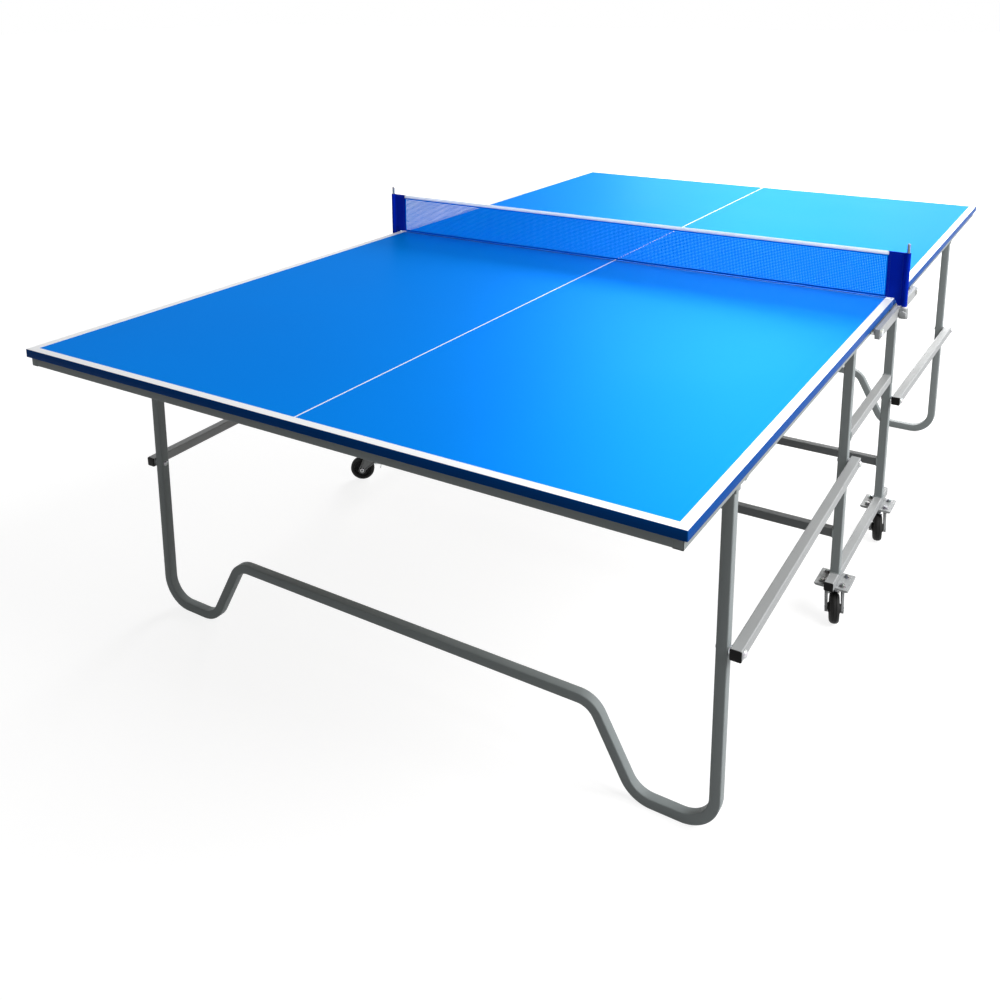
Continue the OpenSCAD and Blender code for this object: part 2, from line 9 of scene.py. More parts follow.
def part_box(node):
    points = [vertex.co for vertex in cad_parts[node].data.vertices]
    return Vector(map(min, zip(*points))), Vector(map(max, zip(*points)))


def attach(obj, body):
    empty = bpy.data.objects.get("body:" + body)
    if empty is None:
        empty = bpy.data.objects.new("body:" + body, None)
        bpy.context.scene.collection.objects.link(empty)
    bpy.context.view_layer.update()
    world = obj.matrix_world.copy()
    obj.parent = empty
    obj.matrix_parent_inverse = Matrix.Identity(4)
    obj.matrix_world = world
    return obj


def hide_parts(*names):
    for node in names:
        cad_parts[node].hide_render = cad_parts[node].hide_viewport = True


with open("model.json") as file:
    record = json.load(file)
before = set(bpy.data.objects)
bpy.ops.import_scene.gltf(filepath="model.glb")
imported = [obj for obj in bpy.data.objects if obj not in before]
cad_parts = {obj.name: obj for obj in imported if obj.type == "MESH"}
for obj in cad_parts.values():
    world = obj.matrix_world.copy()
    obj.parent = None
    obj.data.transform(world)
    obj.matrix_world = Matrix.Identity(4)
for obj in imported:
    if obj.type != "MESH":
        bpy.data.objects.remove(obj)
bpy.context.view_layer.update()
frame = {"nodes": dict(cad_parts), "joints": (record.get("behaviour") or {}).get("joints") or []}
scene = bpy.context.scene

# ---- Sizes: metres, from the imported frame; only what no node's box tells is written here ----

MM = 0.001
UP = Vector((0, 0, 1))
pivots = {joint["name"]: Vector(joint["pos_m"]) for joint in frame["joints"] if "pos_m" in joint}
axes = {joint["name"]: Vector(joint["axis"]) for joint in frame["joints"]}

band_lo, band_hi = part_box("near_edge_band")
HALF_W, TOP, UNDER = band_hi.x, band_hi.z, band_lo.z
OUTER_Y, INNER_Y = -band_lo.y, -band_hi.y
BAND = HALF_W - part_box("near_board")[1].x

post_lo, post_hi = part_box("near_right_post")
SIDE_OUT = post_hi.x
TUBE = post_hi.x - post_lo.x
SIDE_X = (post_lo.x + post_hi.x) / 2
POST_Y = -(post_lo.y + post_hi.y) / 2
TUBE_CORNER = 2.5 * MM

HINGE = pivots["near_fold"]
LEG_HINGE = pivots["near_leg_fold"]
LINK_POST = pivots["near_link_turn"]
LEG_DROP = HINGE.z - LEG_HINGE.z
LEG_Y = -(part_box("near_leg")[0].y + TUBE / 2)
LEG_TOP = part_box("near_leg")[1].z
LINK_IN, LINK_OUT = (corner.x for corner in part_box("near_right_link"))
APRON_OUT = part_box("near_side_aprons")[1].x
APRON_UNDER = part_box("near_end_aprons")[0].z
APRON_WIDTH = 18 * MM
APRON_IN = APRON_OUT - APRON_WIDTH
SHEET_WALL = 1.5 * MM
SHEET_BEND = 2.5 * MM
rail_lo, rail_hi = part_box("right_net_rail")
NET_POST_X = pivots["right_clamp_turn"].x
NET_POST_R = 5 * MM
AXLE_Z = 37.5 * MM
TRAIL = 32 * MM

CORNERS = [(side, end) for end in (-1, 1) for side in (-1, 1)]
SIDE_NAME = {-1: "left", 1: "right"}
END_NAME = {-1: "near", 1: "far"}


# ---- Mesh kit ----

def mm(value):
    """Millimetres to metres, for a number or for lists of them."""
    return [mm(v) for v in value] if isinstance(value, (list, tuple)) else value * MM


def at(x, y, z):
    return Matrix.Translation((x, y, z))


def turned(degrees, axis):
    return Matrix.Rotation(math.radians(degrees), 4, axis)


def axis_to(direction, origin=(0, 0, 0)):
    """A place at origin whose Z runs along direction."""
    return Matrix.Translation(origin) @ Vector(direction).to_track_quat("Z", "Y").to_matrix().to_4x4()


def facing_x(x=0, sign=1):
    """A place at x whose Z runs along X, or against it where sign is -1."""
    return axis_to((sign, 0, 0), (x, 0, 0))


STANDING_YZ = Matrix(((0, 0, 1, 0), (1, 0, 0, 0), (0, 1, 0, 0), (0, 0, 0, 1)))


def mirrored(side, end=-1):
    """Takes what is modelled at the right near corner to another corner."""
    return Matrix.Diagonal((side, -end, 1, 1))


def stand(name, data):
    """Puts a new object into the scene."""
    obj = bpy.data.objects.new(name, data)
    scene.collection.objects.link(obj)
    return obj


class Shape:
    """Gathers closed parts into one mesh."""

    def __init__(self):
        self.bm = bmesh.new()

    def take(self, part, place=Matrix(), material=0):
        """Adds a part at its place. With material None its faces keep their own."""
        part.transform(place)
        if place.determinant() < 0:
            bmesh.ops.reverse_faces(part, faces=part.faces)
        if material is not None:
            for face in part.faces:
                face.material_index = material
        mesh = bpy.data.meshes.new("part")
        part.to_mesh(mesh)
        part.free()
        self.bm.from_mesh(mesh)
        bpy.data.meshes.remove(mesh)

    def piece(self, name, body, materials, slot, replaces=(), sharp=32):
        """Makes the object. Edges that turn by more than sharp degrees are shaded sharp."""
        mesh = bpy.data.meshes.new(name)
        self.bm.to_mesh(mesh)
        self.bm.free()
        mesh.polygons.foreach_set("use_smooth", [True] * len(mesh.polygons))
        mesh.set_sharp_from_angle(angle=math.radians(sharp))
        for item in materials:
            mesh.materials.append(item)
        obj = stand(name, mesh)
        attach(obj, body)
        if replaces:
            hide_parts(*replaces)
        return obj


def soften(bm, width, steps=2, angle=30):
    """Bevels every edge that is sharper than angle."""
    limit = math.radians(angle)
    edges = [e for e in bm.edges if len(e.link_faces) == 2 and e.calc_face_angle(0) > limit]
    bmesh.ops.bevel(bm, geom=edges, offset=width, segments=steps, affect="EDGES", profile=0.5)
    return bm


def block(lo, hi, bevel, steps=2):
    lo, hi = Vector(lo), Vector(hi)
    bm = bmesh.new()
    bmesh.ops.create_cube(bm, size=1)
    bm.transform(Matrix.Translation((lo + hi) / 2) @ Matrix.Diagonal((*(hi - lo), 1)))
    return soften(bm, bevel, steps) if bevel else bm


def slab(outline, thickness, bevel, holes=()):
    """Extrudes an outline in the XY plane up along Z and rounds its rims."""
    bm = bmesh.new()
    edges = []
    for loop in (outline, *holes):
        points = [bm.verts.new((x, y, 0)) for x, y in loop]
        edges += [bm.edges.new((a, b)) for a, b in zip(points, points[1:] + points[:1])]
    bmesh.ops.triangle_fill(bm, edges=edges, use_beauty=True, use_dissolve=True)
    bm.normal_update()
    bm.faces.ensure_lookup_table()
    if bm.faces[0].normal.z > 0:
        bmesh.ops.reverse_faces(bm, faces=bm.faces)
    made = bmesh.ops.extrude_face_region(bm, geom=list(bm.faces))
    top = [g for g in made["geom"] if isinstance(g, bmesh.types.BMVert)]
    bmesh.ops.translate(bm, verts=top, vec=(0, 0, thickness))
    bmesh.ops.recalc_face_normals(bm, faces=bm.faces)
    return soften(bm, bevel, 2, 50) if bevel else bm


def lathe(profile, steps=40):
    """Turns (radius, height) points round Z. Points with no radius close the ends."""
    bm = bmesh.new()
    rings = []
    for r, z in profile:
        around = circle(r, steps) if r > 0 else [(0, 0)]
        rings.append([bm.verts.new((x, y, z)) for x, y in around])
    for a, b in zip(rings, rings[1:]):
        for i in range(steps):
            j = (i + 1) % steps
            corners = [a[i % len(a)], a[j % len(a)], b[j % len(b)], b[i % len(b)]]
            bm.faces.new(list(dict.fromkeys(corners)))
    if profile[0][0] > 0 and profile[0] == profile[-1]:
        bmesh.ops.remove_doubles(bm, verts=bm.verts, dist=1e-7)
    bmesh.ops.recalc_face_normals(bm, faces=bm.faces)
    return bm


def skinned(rows, looped=False, peak=None):
    """A skin over rows of points, each row closed on itself. The ends are flat, unless the rows loop or
    the last row rises to a peak."""
    bm = bmesh.new()
    rings = [[bm.verts.new(point) for point in row] for row in rows]
    for a, b in zip(rings, rings[1:] + (rings[:1] if looped else [])):
        for i in range(len(a)):
            j = (i + 1) % len(a)
            bm.faces.new((a[i], a[j], b[j], b[i]))
    if not looped:
        bm.faces.new(rings[0][::-1])
        if peak:
            tip = bm.verts.new(peak)
            for a, b in zip(rings[-1], rings[-1][1:] + rings[-1][:1]):
                bm.faces.new((a, b, tip))
        else:
            bm.faces.new(rings[-1])
    bmesh.ops.recalc_face_normals(bm, faces=bm.faces)
    return bm


def sweep(path, profile, side, closed=False):
    """Runs a profile along a path. The profile's X stays square to the path and to side, its Y along side.
    The profile may be a function of the step, for a section that changes."""
    rows = []
    count = len(path)
    for i, point in enumerate(path):
        before = path[i - 1] if i or closed else point
        after = path[(i + 1) % count] if i < count - 1 or closed else point
        ahead = (after - before).normalized()
        across = side.cross(ahead).normalized()
        up = ahead.cross(across)
        section = profile(i) if callable(profile) else profile
        rows.append([point + across * x + up * y for x, y in section])
    return skinned(rows, closed)


def circle(radius, steps):
    angles = [2 * math.pi * i / steps for i in range(steps)]
    return [(radius * math.cos(a), radius * math.sin(a)) for a in angles]


def arc(centre, radius, start, end, steps):
    """Points from the angle start to the angle end, in degrees."""
    angles = [math.radians(start + (end - start) * i / steps) for i in range(steps + 1)]
    return [(centre[0] + radius * math.cos(a), centre[1] + radius * math.sin(a)) for a in angles]


def rounded_square(size, corner, steps=4):
    half = size / 2 - corner
    points = []
    for k, (sx, sy) in enumerate(((1, 1), (-1, 1), (-1, -1), (1, -1))):
        points += arc((sx * half, sy * half), corner, 90 * k, 90 * k + 90, steps)
    return points


def rectangle(x0, y0, x1, y1):
    return [(x0, y0), (x1, y0), (x1, y1), (x0, y1)]


def rounded_outline(points, radius, steps=4):
    """Rounds an outline's corners with arcs that keep to radius or to half the shorter side."""
    out = []
    count = len(points)
    for i in range(count):
        here = Vector(points[i])
        back, ahead = Vector(points[i - 1]) - here, Vector(points[(i + 1) % count]) - here
        r = radius[i] if isinstance(radius, list) else radius
        half_turn = back.angle(ahead) / 2
        if r <= 0 or math.pi / 2 - half_turn < 0.02:
            out.append(tuple(here))
            continue
        reach = min(r / math.tan(half_turn), back.length * 0.49, ahead.length * 0.49)
        r = reach * math.tan(half_turn)
        start, end = here + back.normalized() * reach, here + ahead.normalized() * reach
        centre = here + (back.normalized() + ahead.normalized()).normalized() * (r / math.sin(half_turn))
        a0 = math.atan2(*(start - centre).yx)
        turn = math.remainder(math.atan2(*(end - centre).yx) - a0, 2 * math.pi)
        out += arc(centre, r, math.degrees(a0), math.degrees(a0 + turn), steps)
    return out


def inset(outline, distance):
    """Moves an outline's points inward by distance. The outline may run either way round."""
    area = sum(a[0] * b[1] - b[0] * a[1] for a, b in zip(outline, outline[1:] + outline[:1]))
    out = []
    for i, point in enumerate(outline):
        here = Vector(point)
        ahead, back = Vector(outline[(i + 1) % len(outline)]) - here, here - Vector(outline[i - 1])
        normals = [Vector((-d.y, d.x)).normalized() for d in (ahead, back)]
        middle = (normals[0] + normals[1]).normalized()
        reach = distance / max(0.5, middle.dot(normals[0]))
        out.append(tuple(here + middle * math.copysign(reach, area)))
    return out


def rod(radius, start, end, steps=24):
    """A plain round bar along Z."""
    return lathe([(0, start), (radius, start), (radius, end), (0, end)], steps)


def ring(bore, radius, start, end, steps=40):
    """A plain ring along Z."""
    return lathe([(bore, start), (radius, start), (radius, end), (bore, end), (bore, start)], steps)


def hex_prism(across, height, peak=0.0):
    """A hexagon nut or head along Z, with its corners turned off at the top. Sizes in millimetres."""
    across, height, peak = mm([across, height, peak])
    flat = across / 2
    turned_off = 0.05 * (across / math.sqrt(3) - flat)
    foot, shoulder, crown = [], [], []
    for i in range(24):
        a = 2 * math.pi * i / 24
        reach = flat / math.cos((a + math.pi / 6) % (math.pi / 3) - math.pi / 6)
        x, y = math.cos(a), math.sin(a)
        foot.append((reach * x, reach * y, 0))
        shoulder.append((reach * x, reach * y, height - 0.9 * (reach - flat) - turned_off))
        crown.append((flat * x, flat * y, height))
    return skinned([foot, shoulder, crown], peak=(0, 0, height + peak) if peak else None)


def dome_head(diameter, height):
    """A smooth domed bolt head along Z. Sizes in millimetres."""
    r, height = mm([diameter / 2, height])
    rim = height * 0.3
    dome = [(r * x, rim + (height - rim) * y) for x, y in arc((0, 0), 1, 0, 75, 5)]
    return lathe([(0, 0), (r, 0), *dome, (0, height)])


def washer(diameter, thickness, bore):
    """A flat ring with rounded rims. Sizes in millimetres."""
    r, b, c, t = diameter / 2, bore / 2, thickness * 0.2, thickness
    return lathe(mm([(b, 0), (r - c, 0), (r, c), (r, t - c), (r - c, t), (b, t), (b, 0)]))


# ---- Material kit ----

class Graph:
    """A node tree. Nodes are made with their own properties and, by keyword, what goes into their inputs."""

    def __init__(self, tree):
        self.tree = tree

    def put(self, socket, value):
        if isinstance(value, bpy.types.NodeSocket):
            self.tree.links.new(value, socket)
        else:
            socket.default_value = value

    def fill(self, node, inputs):
        for key, value in inputs.items():
            self.put(node.inputs[key.replace("_", " ")], value)

    def node(self, kind, own=(), **inputs):
        made = self.tree.nodes.new("ShaderNode" + kind)
        for key, value in dict(own).items():
            setattr(made, key, value)
        self.fill(made, inputs)
        return made

    def math(self, operation, a, b, kind="Math"):
        made = self.node(kind, {"operation": operation})
        self.put(made.inputs[0], a)
        self.put(made.inputs[1], b)
        return made.outputs["Value"]

    def span(self, factor, low, high, **inputs):
        """Maps 0..1 onto low..high."""
        return self.node("MapRange", Value=factor, To_Min=low, To_Max=high, **inputs).outputs["Result"]


class Finish(Graph):
    """A principled material whose textures run in the object's own space."""

    def __init__(self, name):
        self.material = bpy.data.materials.new(name)
        self.material.use_nodes = True
        super().__init__(self.material.node_tree)
        self.shader = next(n for n in self.tree.nodes if n.type == "BSDF_PRINCIPLED")
        self.place = self.node("TexCoord").outputs["Object"]

    def stretched(self, scale):
        return self.node("Mapping", Vector=self.place, Scale=scale).outputs["Vector"] if scale else self.place

    def noise(self, scale, detail=3.0, roughness=0.55, stretch=None):
        return self.node("TexNoise", Vector=self.stretched(stretch), Scale=scale, Detail=detail,
                         Roughness=roughness).outputs["Fac"]

    def wave(self, scale, direction, stretch=None):
        own = {"bands_direction": direction}
        return self.node("TexWave", own, Vector=self.stretched(stretch), Scale=scale).outputs["Fac"]

    def cells(self, scale, output):
        return self.node("TexVoronoi", Vector=self.place, Scale=scale).outputs[output]

    def ramp(self, factor, low, high, falling=False):
        """0 to 1 between low and high, or 1 to 0 where it falls."""
        made = self.node("ValToRGB", Fac=factor)
        first, last = made.color_ramp.elements
        first.position, first.color = low, grey(1.0 if falling else 0.0)
        last.position, last.color = high, grey(0.0 if falling else 1.0)
        return made.outputs["Color"]

    def mix(self, factor, a, b, blend="MIX"):
        made = self.node("Mix", {"data_type": "RGBA", "blend_type": blend})
        for index, value in ((0, factor), (6, a), (7, b)):
            self.put(made.inputs[index], value)
        return made.outputs[2]

    def over(self, colour, mask, share, other):
        """Lays another colour over the first where the mask is, by share at most."""
        return self.mix(self.math("MULTIPLY", mask, share), colour, other)

    def bump(self, height, strength, distance, **normal):
        return self.node("Bump", Height=height, Strength=strength, Distance=distance,
                         **normal).outputs["Normal"]

    def edges(self, radius):
        """A rounded normal, and how far the surface is an edge, from 0 to 1."""
        soft = self.node("Bevel", {"samples": 4}, Radius=radius).outputs["Normal"]
        facing = self.math("DOT_PRODUCT", soft, self.node("NewGeometry").outputs["Normal"], "VectorMath")
        return soft, self.ramp(facing, 0.8, 0.99, falling=True)

    def done(self, **sockets):
        self.fill(self.shader, sockets)
        return self.material


def grey(value, tint=(1.0, 1.0, 1.0)):
    return (value * tint[0], value * tint[1], value * tint[2], 1)


def board_lacquer():
    """Satin blue lacquer rolled over a smooth board."""
    f = Finish("board_lacquer")
    cloud = f.noise(2.2, 2.0)
    scuff = f.ramp(f.noise(14, 6.0, 0.7), 0.62, 0.78)
    return f.done(Base_Color=f.mix(cloud, (0.0, 0.215, 0.75, 1), (0.0, 0.238, 0.81, 1)), Metallic=0.40,
                  Roughness=f.math("ADD", f.span(cloud, 0.40, 0.46), f.math("MULTIPLY", scuff, 0.03)),
                  Normal=f.bump(f.noise(900, 2.0), 0.06, 0.0002), Specular_IOR_Level=0.004,
                  Specular_Tint=(0.0, 0.48, 0.9, 1))


def line_paint():
    """Screened white lines, slightly thicker than the lacquer."""
    f = Finish("line_paint")
    return f.done(Base_Color=f.mix(f.noise(60, 4.0), (0.92, 0.93, 0.94, 1), (0.96, 0.97, 0.98, 1)),
                  Roughness=f.span(f.noise(8), 0.34, 0.44), Normal=f.bump(f.noise(1200), 0.08, 0.0001))


def board_back():
    """The sealed underside of a fibreboard, with its fine fibres."""
    f = Finish("board_back")
    fibre = f.noise(220, 5.0, 0.7, (1, 0.35, 1))
    speck = f.ramp(f.noise(700, 2.0), 0.60, 0.75)
    colour = f.mix(fibre, (0.16, 0.115, 0.07, 1), (0.27, 0.20, 0.13, 1))
    return f.done(Base_Color=f.over(colour, speck, 0.35, (0.08, 0.055, 0.035, 1)),
                  Roughness=f.span(fibre, 0.62, 0.78), Normal=f.bump(fibre, 0.25, 0.0003))


def band_plastic():
    """Blue edging with the faint chatter of the edge bander, and a lighter blue at its arrises."""
    f = Finish("band_plastic")
    normal, edge = f.edges(0.8 * MM)
    chatter = f.wave(260, "Z", (1, 1, 3))
    colour = f.mix(f.noise(6), (0.001, 0.072, 0.34, 1), (0.003, 0.088, 0.39, 1))
    return f.done(Base_Color=f.over(colour, edge, 0.25, (0.01, 0.12, 0.58, 1)), Specular_IOR_Level=0.02,
                  Roughness=f.span(f.noise(30), 0.36, 0.48),
                  Normal=f.bump(chatter, 0.05, 0.0002, Normal=normal))


def powder_coat(name, tint, dark, light, worn, metal=0.0):
    """Powder coat: orange peel, flakes and slightly rubbed edges."""
    f = Finish(name)
    normal, edge = f.edges(0.7 * MM)
    peel = f.noise(420, 3.0, 0.6)
    flakes = f.ramp(f.cells(1500, "Distance"), 0.05, 0.35, falling=True)
    colour = f.mix(f.noise(9, 4.0), grey(dark, tint), grey(light, tint))
    colour = f.over(colour, flakes, 0.08, grey(worn))
    return f.done(Base_Color=f.over(colour, edge, f.span(f.noise(40, 4.0), 0.0, 0.6), grey(worn)),
                  Roughness=f.span(peel, 0.46, 0.62), Metallic=metal, Specular_IOR_Level=0.4,
                  Normal=f.bump(peel, 0.16, 0.0003, Normal=normal))


def zinc_plate(name, bright, dulled, worn):
    """Zinc with a faint spangle and dull spots, rubbed bright at its edges."""
    f = Finish(name)
    normal, edge = f.edges(0.5 * MM)
    tone = f.mix(0.12, bright, f.cells(160, "Color"), "OVERLAY")
    dull = f.ramp(f.noise(70, 5.0, 0.65), 0.45, 0.7)
    colour = f.over(tone, dull, 0.5, dulled)
    return f.done(Base_Color=f.over(colour, edge, 0.5, worn), Roughness=f.span(dull, 0.26, 0.46),
                  Metallic=0.9, Normal=f.bump(f.noise(500, 2.0), 0.08, 0.0002, Normal=normal))


def moulded_plastic(name, dark, light, grain_scale):
    """Moulded plastic with a fine spark-eroded grain."""
    f = Finish(name)
    normal, edge = f.edges(0.5 * MM)
    grain = f.noise(grain_scale, 3.0, 0.6)
    colour = f.mix(f.noise(25, 4.0), grey(dark), grey(light))
    return f.done(Base_Color=f.over(colour, edge, 0.4, grey(0.08)), Roughness=f.span(grain, 0.42, 0.58),
                  Normal=f.bump(grain, 0.3, 0.0002, Normal=normal), Specular_IOR_Level=0.1)


def tread_rubber():
    """Dusty rubber."""
    f = Finish("tread_rubber")
    dust = f.ramp(f.noise(90, 6.0, 0.7), 0.42, 0.75)
    return f.done(Base_Color=f.over(grey(0.009), dust, 0.3, grey(0.07, (1.0, 0.96, 0.9))),
                  Roughness=f.span(dust, 0.55, 0.85), Normal=f.bump(f.noise(600), 0.3, 0.0003),
                  Specular_IOR_Level=0.25)


def net_cord():
    """Blue knitted cord with the twist of its yarns."""
    f = Finish("net_cord")
    twist = f.wave(520, "DIAGONAL")
    colour = f.mix(twist, (0.0, 0.19, 0.80, 1), (0.0, 0.26, 0.90, 1))
    return f.done(Base_Color=f.over(colour, f.noise(20), 0.3, (0.0, 0.19, 0.78, 1)), Roughness=0.72,
                  Normal=f.bump(twist, 0.4, 0.0002), Specular_IOR_Level=0.01, Subsurface_Weight=0.6,
                  Subsurface_Radius=(1, 1, 1), Subsurface_Scale=0.003)


def woven(name, dark, light, pitch, see_through=0.0, depth=0.004):
    """A plain weave: two crossed sets of threads with uneven dye."""
    f = Finish(name)
    weave = f.math("MULTIPLY", f.wave(pitch, "X"), f.wave(pitch, "Z"))
    return f.done(Base_Color=f.over(f.mix(weave, dark, light), f.noise(18, 5.0), 0.35, dark),
                  Roughness=f.span(weave, 0.62, 0.8), Normal=f.bump(weave, 0.5, 0.0004),
                  Specular_IOR_Level=0.05, Subsurface_Weight=see_through, Subsurface_Radius=(1, 1, 1),
                  Subsurface_Scale=depth)


def thread(name, dark, light):
    f = Finish(name)
    twist = f.wave(900, "DIAGONAL")
    return f.done(Base_Color=f.mix(twist, dark, light), Roughness=0.6, Normal=f.bump(twist, 0.5, 0.0002))


LACQUER = board_lacquer()
LINE = line_paint()
BACK = board_back()
EDGING = band_plastic()
FRAME = powder_coat("frame_coat", (0.90, 1.0, 1.01), 0.31, 0.36, 0.48)
RAIL = powder_coat("rail_coat", (0.97, 1.0, 1.01), 0.37, 0.43, 0.6, 0.1)
# The crossbars' coat is the frame's grey painted much darker, as painted shade for the shade under the table.
SHADED_CROSSBAR_COAT = powder_coat("crossbar_painted_shade_coat", (0.93, 1.0, 1.02), 0.11, 0.14, 0.24)
ZINC = zinc_plate("zinc_plate", (0.62, 0.63, 0.645, 1), (0.43, 0.44, 0.45, 1), (0.86, 0.87, 0.88, 1))
STEEL = zinc_plate("dull_steel", (0.26, 0.27, 0.28, 1), (0.15, 0.155, 0.16, 1), (0.5, 0.5, 0.51, 1))
BLACK = moulded_plastic("black_moulding", 0.007, 0.016, 700)
HUB = moulded_plastic("hub_moulding", 0.03, 0.06, 500)
RUBBER = tread_rubber()
CORD = net_cord()
SLEEVE = woven("sleeve_canvas", (0.0, 0.020, 0.48, 1), (0.0, 0.045, 0.78, 1), 330)
TAPE = woven("tape_cotton", (0.84, 0.87, 0.90, 1), (0.96, 0.97, 0.98, 1), 420, 1.0, 0.02)
HEM = woven("hem_cloth", (0.0, 0.13, 0.70, 1), (0.0, 0.22, 0.95, 1), 330)
WHITE_THREAD = thread("white_thread", grey(0.62), grey(0.85))
NAVY_THREAD = thread("navy_thread", (0.01, 0.04, 0.3, 1), (0.02, 0.08, 0.45, 1))


# ---- Boards ----

LINE_W = 20 * MM
CENTRE_LINE_W = 3 * MM
LINE_SUNK, LINE_RISE = 0.1 * MM, 0.18 * MM
LINE_EDGE = 0.7 * MM


def board(end):
    """The painted panel and, on it, the border and centre lines."""
    name = END_NAME[end]
    inner = HALF_W - BAND
    sheet = block((-inner, -OUTER_Y + BAND, UNDER), (inner, -INNER_Y - BAND, TOP - 0.02 * MM), 0.2 * MM, 1)
    for face in sheet.faces:
        face.material_index = 1 if face.normal.z < -0.5 else 0
    panel = Shape()
    panel.take(sheet, mirrored(1, end), None)
    panel.piece(f"{name}_panel", f"{name}_half", [LACQUER, BACK], "board_blue", [f"{name}_board"])
    lines = Shape()
    out_x, out_y, in_y = HALF_W - LINE_EDGE, -OUTER_Y + LINE_EDGE, -OUTER_Y + LINE_W
    for x0, y0, x1, y1 in ((-out_x, out_y, out_x, in_y),
                           (-out_x, in_y, -HALF_W + LINE_W, -INNER_Y),
                           (HALF_W - LINE_W, in_y, out_x, -INNER_Y),
                           (-CENTRE_LINE_W / 2, in_y, CENTRE_LINE_W / 2, -INNER_Y)):
        lines.take(block((x0, y0, TOP - LINE_SUNK), (x1, y1, TOP + LINE_RISE), 0), mirrored(1, end))
    lines.piece(f"{name}_lines", f"{name}_half", [LINE], "net_tape")


def edge_band(end):
    """The glued edging: a ring with rounded arrises."""
    name = END_NAME[end]
    corner, arris = 2 * MM, 0.9 * MM
    third = arris * 0.3
    profile = [(-BAND, UNDER), (-arris, UNDER), (-third, UNDER + third), (0, UNDER + arris),
               (0, TOP - arris), (-third, TOP - third), (-arris, TOP), (-BAND, TOP)]
    rows = []
    for out, z in profile:
        outline = rectangle(-HALF_W - out, -OUTER_Y - out, HALF_W + out, -INNER_Y + out)
        rows.append([(x, y, z) for x, y in rounded_outline(outline, max(corner + out, 0.05 * MM))])
    shape = Shape()
    shape.take(skinned(rows, looped=True), mirrored(1, end))
    shape.piece(f"{name}_edging", f"{name}_half", [EDGING], "edge_band", [f"{name}_edge_band"], 50)


for end_side in (-1, 1):
    board(end_side)
    edge_band(end_side)


# ---- Frame under each half ----

def channel(start, finish):
    """A level C section from start to finish: its web on that line, its flanges reaching to the left."""
    wide, high, wall, bend = APRON_WIDTH, UNDER - APRON_UNDER, SHEET_WALL, SHEET_BEND
    lip = wall * 0.3
    outline = [(wide, 0), (0, 0), (0, -high), (wide, -high),
               (wide, -high + wall), (wall, -high + wall), (wall, -wall), (wide, -wall)]
    radii = [lip, bend, bend, lip, lip, bend - wall, bend - wall, lip]
    return sweep([Vector(start), Vector(finish)], rounded_outline(outline, radii), UP)


def screw_head():
    """A small pan head along Z with a recess."""
    return lathe(mm([(0, 0), (4, 0), (4, 0.6), (3.2, 1.7), (1.9, 2.2), (1.1, 2.2), (0.5, 1.2), (0, 1.2)]), 20)


BUSH_GAP = 2.8 * MM
SCREW_SPOTS = [0.05 + 0.15 * k for k in range(7)]


def aprons(end):
    """The channels round each half, with the bushes that turn on the hinge bolts."""
    name = END_NAME[end]
    gap = HALF_W - APRON_OUT
    out_y, in_y = -OUTER_Y + gap, -INNER_Y - gap
    bush_x = SIDE_OUT + BUSH_GAP
    sides, ends = Shape(), Shape()
    for side in (-1, 1):
        place = mirrored(side, end)
        sides.take(channel((APRON_OUT, out_y, UNDER), (APRON_OUT, in_y, UNDER)), place)
        sides.take(ring(5.1 * MM, 8 * MM, 0, APRON_OUT - bush_x),
                   place @ axis_to((1, 0, 0), (bush_x, HINGE.y, HINGE.z)))
        for y in (out_y, in_y - SHEET_WALL):
            tab = block((APRON_IN, y, APRON_UNDER), (APRON_OUT - 0.6 * MM, y + SHEET_WALL, UNDER), 0.3 * MM)
            sides.take(tab, place)
        for spot in SCREW_SPOTS:
            under = ((APRON_IN + APRON_OUT) / 2, out_y + spot * (in_y - out_y), APRON_UNDER)
            sides.take(screw_head(), place @ axis_to((0, 0, -1), under), 1)
    for y, way in ((out_y, 1), (in_y, -1)):
        ends.take(channel((-APRON_IN * way, y, UNDER), (APRON_IN * way, y, UNDER)), mirrored(1, end))
    for shape, kind in ((sides, "side"), (ends, "end")):
        shape.piece(f"{name}_{kind}_channels", f"{name}_half", [FRAME, ZINC], "frame_paint",
                    [f"{name}_{kind}_aprons"])


def stiffeners(end):
    """Folded U sections across the board's underside."""
    name = END_NAME[end]
    lo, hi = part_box("near_stiffeners")
    wide, high, wall, bend = 15 * MM, UNDER - lo.z, SHEET_WALL, SHEET_BEND
    lip = wall * 0.3
    outline = [(-wide, -high), (-wide, 0), (wide, 0), (wide, -high),
               (wide - wall, -high), (wide - wall, -wall), (-wide + wall, -wall), (-wide + wall, -high)]
    profile = rounded_outline(outline, [lip, bend, bend, lip, lip, bend - wall, bend - wall, lip])
    shape = Shape()
    for y in (lo.y + wide, hi.y - wide):
        path = [Vector((x, y, UNDER)) for x in (-hi.x, hi.x)]
        shape.take(sweep(path, profile, UP), mirrored(1, end))
    shape.piece(f"{name}_hat_sections", f"{name}_half", [FRAME], "frame_paint", [f"{name}_stiffeners"])


for end_side in (-1, 1):
    aprons(end_side)
    stiffeners(end_side)


# ---- Legs ----

FOOT_R, KNEE_R, SHOULDER_R = mm([65, 60, 50])
FOOT_L, SHOULDER_IN, LEG_BAR_Z = mm([159.5, 251.5, 167])
STRAIGHT_STEPS = (0.45, 0.25)


